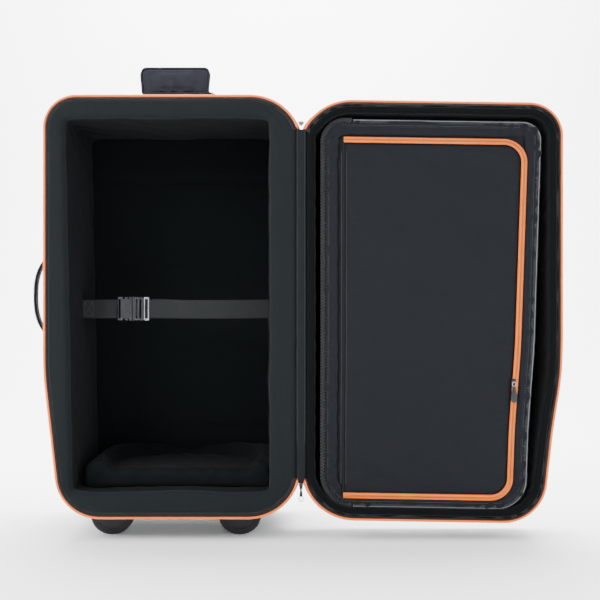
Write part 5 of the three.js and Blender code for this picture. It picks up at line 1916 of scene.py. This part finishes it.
def make_pocket_body():
    """Front frame and gusset in one closed skin: rows go round the pocket, columns through its section."""
    count = 560
    loop = matched(np.vstack([pocket_loop(0), pocket_loop(0)[:1]]), count + 1)[:-1]
    facing = normals_of(loop, True)
    columns = [(loop - facing * 0.030, 0.0205), (loop - facing * 0.030, POCKET_FRONT + 0.0022)]
    for s in np.linspace(0, 1, 12):
        columns.append((loop - facing * (0.029 - 0.0245 * s),
                        POCKET_FRONT + 0.0006 - 0.0016 * math.sin(math.pi * s) ** 0.8))
    for a in np.linspace(0, math.pi / 2, 6)[1:]:
        columns.append((loop - facing * 0.0045 * (1 - math.sin(a)),
                        POCKET_FRONT + 0.0006 + 0.0045 * (1 - math.cos(a))))
    for t in np.linspace(0, 1, 20)[1:]:
        columns.append((loop + facing * 0.0016 * math.sin(math.pi * t) ** 0.7, POCKET_FRONT + 0.0051
                        + t * (POCKET_BACK - POCKET_FRONT - 0.0051)))
    columns.append((loop - facing * 0.012, POCKET_BACK))
    columns.append((loop - facing * 0.012, 0.06))
    uz = np.stack([c[0] for c in columns], 1)
    v = np.stack([np.broadcast_to(c[1], (count,)) for c in columns], 1)
    points = place(LID, uz[..., 0], v, uz[..., 1])
    on_side = smooth(0.018, 0.03, v) * (1 - smooth(0.105, 0.117, v))
    on_front = 1 - smooth(POCKET_FRONT + 0.002, POCKET_FRONT + 0.008, v)
    curve = corner_share(facing, 31, 0.03)
    under_tape = smooth(0.004, -0.001, outside_zipper(uz)) * (v < 0.02)
    points[..., 1] += 0.0026 * under_tape
    on_front = on_front * (1 - under_tape)
    amount = 0.0013 * cloth_noise(points, 0.045, 151) * (on_side + on_front)
    gathers = cloth_folds(points, (1, 0.3, -0.8), 0.020, 152, 0.5)
    amount = amount + 0.0016 * curve * (on_side + 0.8 * on_front) * gathers
    amount = amount + 0.0008 * on_front * cloth_folds(points, (0.15, 0, 1), 0.038, 153, 0.8)
    body = fix_normals(ring_sheet("pocket_frame", points, amount, POCKET_CLOTH))
    finish_piece(body, "lid", ["pocket_body"])

    finish_piece(make_filler(), "lid")


def loop_span(loop, heights):
    """Lowest and highest u of a closed line at each height."""
    centre = loop[:, 0].mean()
    left, right = loop[loop[:, 0] < centre], loop[loop[:, 0] >= centre]
    left, right = left[np.argsort(left[:, 1])], right[np.argsort(right[:, 1])]
    return np.interp(heights, left[:, 1], left[:, 0]), np.interp(heights, right[:, 1], right[:, 0])


def make_filler():
    """The sheet of cloth across the pocket's mouth, under the flap."""
    loop = even(pocket_loop(0.028), 0.002, closed=True)
    heights = np.linspace(loop[:, 1].min() + 0.0004, loop[:, 1].max() - 0.0004, 40)
    left, right = loop_span(loop, heights)
    u, z = scan_rows(left, right, heights, 24)
    return thicken(face_front(grid("pocket_filler", place(LID, u, FILLER_DEPTH, z), POCKET_CLOTH)), 0.0012)


def make_flap():
    """The padded flap inside the zipper: crowned, dimpled along its seams and creased where it hangs."""
    edge = zip_line(0.0074, 300)
    heights = np.linspace(edge[:, 1].min() + 0.0002, edge[:, 1].max() - 0.0002, 190)
    right = np.empty(len(heights))
    mid = (edge[:, 1].min() + edge[:, 1].max()) / 2
    for k, z in enumerate(heights):
        half = edge[edge[:, 1] > mid] if z > mid else edge[edge[:, 1] <= mid]
        half = half[half[:, 0] > 0.2]
        ordered = half[np.argsort(half[:, 1])]
        right[k] = np.interp(z, ordered[:, 1], ordered[:, 0])
    left = np.full(len(heights), SEAM_U + 0.0004)
    columns = 110
    u, z = scan_rows(left, right, heights, columns)
    s, t = np.linspace(0, 1, columns)[None, :], np.linspace(0, 1, len(heights))[:, None]
    distance = np.minimum(np.minimum(u - SEAM_U, right[:, None] - u),
                          np.minimum(z - heights[0], heights[-1] - z))
    dome = 1 - np.exp(-np.maximum(distance, 0) / 0.012)
    points = place(LID, u, FLAP_DEPTH, z)
    sag = 0.0035 * dome * bump(t, 0.36, 0.30) * bump(s, 0.52, 0.4)
    lumps = 0.0022 * cloth_noise(points, 0.14, 161) + 0.0012 * cloth_noise(points, 0.045, 162)
    puff = 0.0034 * dome + sag + dome * lumps
    long_crease = 0.0012 * dome * cloth_folds(points, (0.25, 0, 1), 0.085, 163, 1.3)
    near = np.exp(-np.maximum(distance, 0) / 0.022)
    gather = 0.0011 * near * dome * cloth_folds(points, (0.2, 0, 1), 0.017, 164, 0.7)
    points[..., 1] -= puff + long_crease + gather
    flap = thicken(face_front(grid("pocket_flap_panel", points, POCKET_CLOTH)), 0.0030)
    finish_piece(subdivide(flap), "pocket_flap", ["pocket_flap"])


def make_zipper():
    """The pocket's orange zipper: its tape, the coil along its middle and a row of stitches on each side."""
    near, far = zip_line(-0.0056, 620), zip_line(0.0060, 620)
    share = np.linspace(0, 1, 7)[None, :, None]
    uz = near[:, None] + (far - near)[:, None] * share
    v = ZIP_DEPTH + 0.0008 * np.abs(np.linspace(-1, 1, 7))[None, :] ** 2 + 0 * uz[..., 0]
    points = place(LID, uz[..., 0], v, uz[..., 1])
    points[..., 1] += 0.0003 * cloth_noise(points, 0.012, 171)
    tape = face_front(grid("pocket_zip_tape", points, ZIP_ORANGE))
    finish_piece(thicken(tape, 0.0012), "lid", ["pocket_zipper"])
    row = zip_line(0, 1900)
    facing = normals_of(row, False)
    swing = np.where(np.arange(len(row)) % 2 == 0, -0.0016, 0.0016)[:, None]
    teeth = row + facing * swing
    coil = tube("pocket_zip_coil", place(LID, teeth[:, 0], 0.0127, teeth[:, 1]), 0.00062, ZIP_COIL, sides=5)
    finish_piece(coil, "lid")
    for inset, seed in ((-0.0052, 1), (0.0055, 2)):
        line = zip_line(inset, 500)
        row = place(LID, line[:, 0], 0.0128, line[:, 1])
        sewn = stitches(f"pocket_zip_stitching_{seed}", row, DARK_THREAD, pitch=0.0042, radius=0.00042)
        finish_piece(sewn, "lid")


def make_pocket_edges():
    """Bound hinge edge, overlocked edges along the top, free side and bottom, and rows of stitching."""
    loop = even(pocket_loop(0.0012), 0.0025, closed=True)
    facing = normals_of(loop, True)
    bound = loop[:, 0] < 0.10
    start = int(np.argmax(~bound & np.roll(bound, 1)))
    loop, facing, bound = np.roll(loop, -start, 0), np.roll(facing, -start, 0), np.roll(bound, -start)
    free_run, hinge_run = loop[~bound], loop[bound]
    inward = -np.stack([facing[:, 0], 0 * facing[:, 0], facing[:, 1]], 1)
    lean = inward[~bound]
    path = place(LID, free_run[:, 0], POCKET_FRONT + 0.0010, free_run[:, 1])
    sewn = serging("pocket_overlock", path, FRAY_THREAD, lean, pitch=0.0044, width=0.0062, radius=0.00065,
                   seed=181)
    finish_piece(sewn, "lid")
    over = place(LID, hinge_run[:, 0] - 0.0035, POCKET_FRONT - 0.0012, hinge_run[:, 1])
    bound_sewn = serging("pocket_binding_overlock", over, THREAD, inward[bound], pitch=0.0060, width=0.0085,
                         radius=0.00055, seed=182)
    finish_piece(bound_sewn, "lid")
    hem = tube("pocket_edge_thread", path, 0.0009, FRAY_THREAD, sides=6)
    finish_piece(hem, "lid")
    rough = np.random.default_rng(7)
    tufts = []
    for k in range(0, len(path), 2):
        out = -lean[k] * rough.uniform(0.0008, 0.0034) + np.array((0, -rough.uniform(0.0, 0.0016), 0))
        along = (path[min(k + 1, len(path) - 1)] - path[k]) * rough.uniform(-0.5, 0.5)
        run = [path[k], path[k] + 0.6 * out + along * 0.4, path[k] + out + along]
        tufts.append(tube(f"tuft_{k}", run, [0.00050, 0.00038, 0.00016], FRAY_THREAD, sides=3,
                          up=(0.1, 1, 0.1)))
    finish_piece(join("pocket_frayed_threads", tufts), "lid")
    bound_path = place(LID, hinge_run[:, 0] - 0.0004, POCKET_FRONT + 0.0022, hinge_run[:, 1])
    binding = tube("pocket_hinge_binding", bound_path, 0.0042, BINDING, sides=12, flat=0.8, power=2.6)
    finish_piece(binding, "lid")
    for number, (inset, thread) in enumerate(((0.0115, THREAD), (0.0145, DARK_THREAD))):
        row_loop = even(pocket_loop(inset), 0.003, closed=True)
        row = place(LID, row_loop[:, 0], POCKET_FRONT - 0.0010, row_loop[:, 1])
        closed_row = np.vstack([row, row[:1]])
        sewn = stitches(f"pocket_stitching_{number}", closed_row, thread, pitch=0.0048, radius=0.0004)
        finish_piece(sewn, "lid")
    heights = np.linspace(0.115, 0.775, 160)
    seams = ((SEAM_U - 0.0045, "lid", 0.0127), (SEAM_U + 0.0050, "pocket_flap", 0.0146))
    for number, (u, body, v) in enumerate(seams):
        row = place(LID, u, v, heights)
        sewn = stitches(f"pocket_seam_stitching_{number}", row, THREAD, pitch=0.0048, radius=0.00045)
        finish_piece(sewn, body)
    ridge = place(LID, SEAM_U, 0.0150, np.linspace(0.098, 0.790, 200))
    fold = tube("pocket_flap_fold", ridge, 0.0018, POCKET_CLOTH, sides=10)
    finish_piece(fold, "lid")


make_pocket_body()
make_flap()
make_zipper()
make_pocket_edges()
make_slider("pocket_zip_slider_body", "pocket_zip_slider", "pocket_slider")
make_pull("pocket_zip_pull_tab", "pocket_zip_pull", "pocket_pull")


# ---- Floor, light and camera ----

def make_stage():
    """A pale floor that turns up into a backdrop."""
    profile = [(-6.0, 0.0), (1.2, 0.0)]
    profile += [(1.2 + 1.6 * math.sin(a), 1.6 * (1 - math.cos(a)))
                for a in np.linspace(0, math.pi / 2, 14)[1:]]
    profile += [(2.8, 7.0)]
    points = np.array([[(x, y, z) for x in np.linspace(-7, 7, 8)] for y, z in profile])
    look = Look("stage_paper", 0.9)
    look.colour(look.ramp(look.noise(1.4, 2.0), (0.3, (0.965, 0.965, 0.965, 1)),
                          (0.7, (0.985, 0.985, 0.985, 1))))
    floor = grid("stage", points, look.material)
    if floor.data.polygons[0].normal.z < 0:
        floor.data.flip_normals()


def area_light(name, at, towards, size, power, colour=(1, 1, 1)):
    light = bpy.data.lights.new(name, "AREA")
    light.shape, light.size, light.energy, light.color = "SQUARE", size, power, colour
    holder = bpy.data.objects.new(name, light)
    holder.location = at
    holder.rotation_euler = (Vector(towards) - Vector(at)).to_track_quat("-Z", "Y").to_euler()
    bpy.context.scene.collection.objects.link(holder)


make_stage()
area_light("key", (-2.0, -1.8, 2.1), (-0.1, 0, 0.45), 1.7, 112, (1.0, 0.99, 0.97))
area_light("fill", (2.4, -2.2, 1.5), (0.1, 0, 0.45), 2.2, 40, (0.97, 0.98, 1.0))
area_light("top", (0.1, 0.3, 3.1), (0, 0.05, 0.4), 2.0, 70)
area_light("backdrop", (0, 0.9, 2.9), (0, 2.8, 0.9), 2.6, 520)
world = bpy.data.worlds.new("studio")
world.use_nodes = True
world.node_tree.nodes["Background"].inputs[0].default_value = (0.95, 0.97, 1.0, 1)
world.node_tree.nodes["Background"].inputs[1].default_value = 1.3
bpy.context.scene.world = world

camera_data = bpy.data.cameras.new("camera")
LENS, SENSOR, CAMERA_AT = 60, 36, (0.0235, -2.1088, 0.473)
camera_data.lens, camera_data.sensor_width = LENS, SENSOR
camera = bpy.data.objects.new("camera", camera_data)
camera.location = CAMERA_AT
camera.rotation_euler = (math.pi / 2, 0, 0)
bpy.context.scene.collection.objects.link(camera)
bpy.context.scene.camera = camera
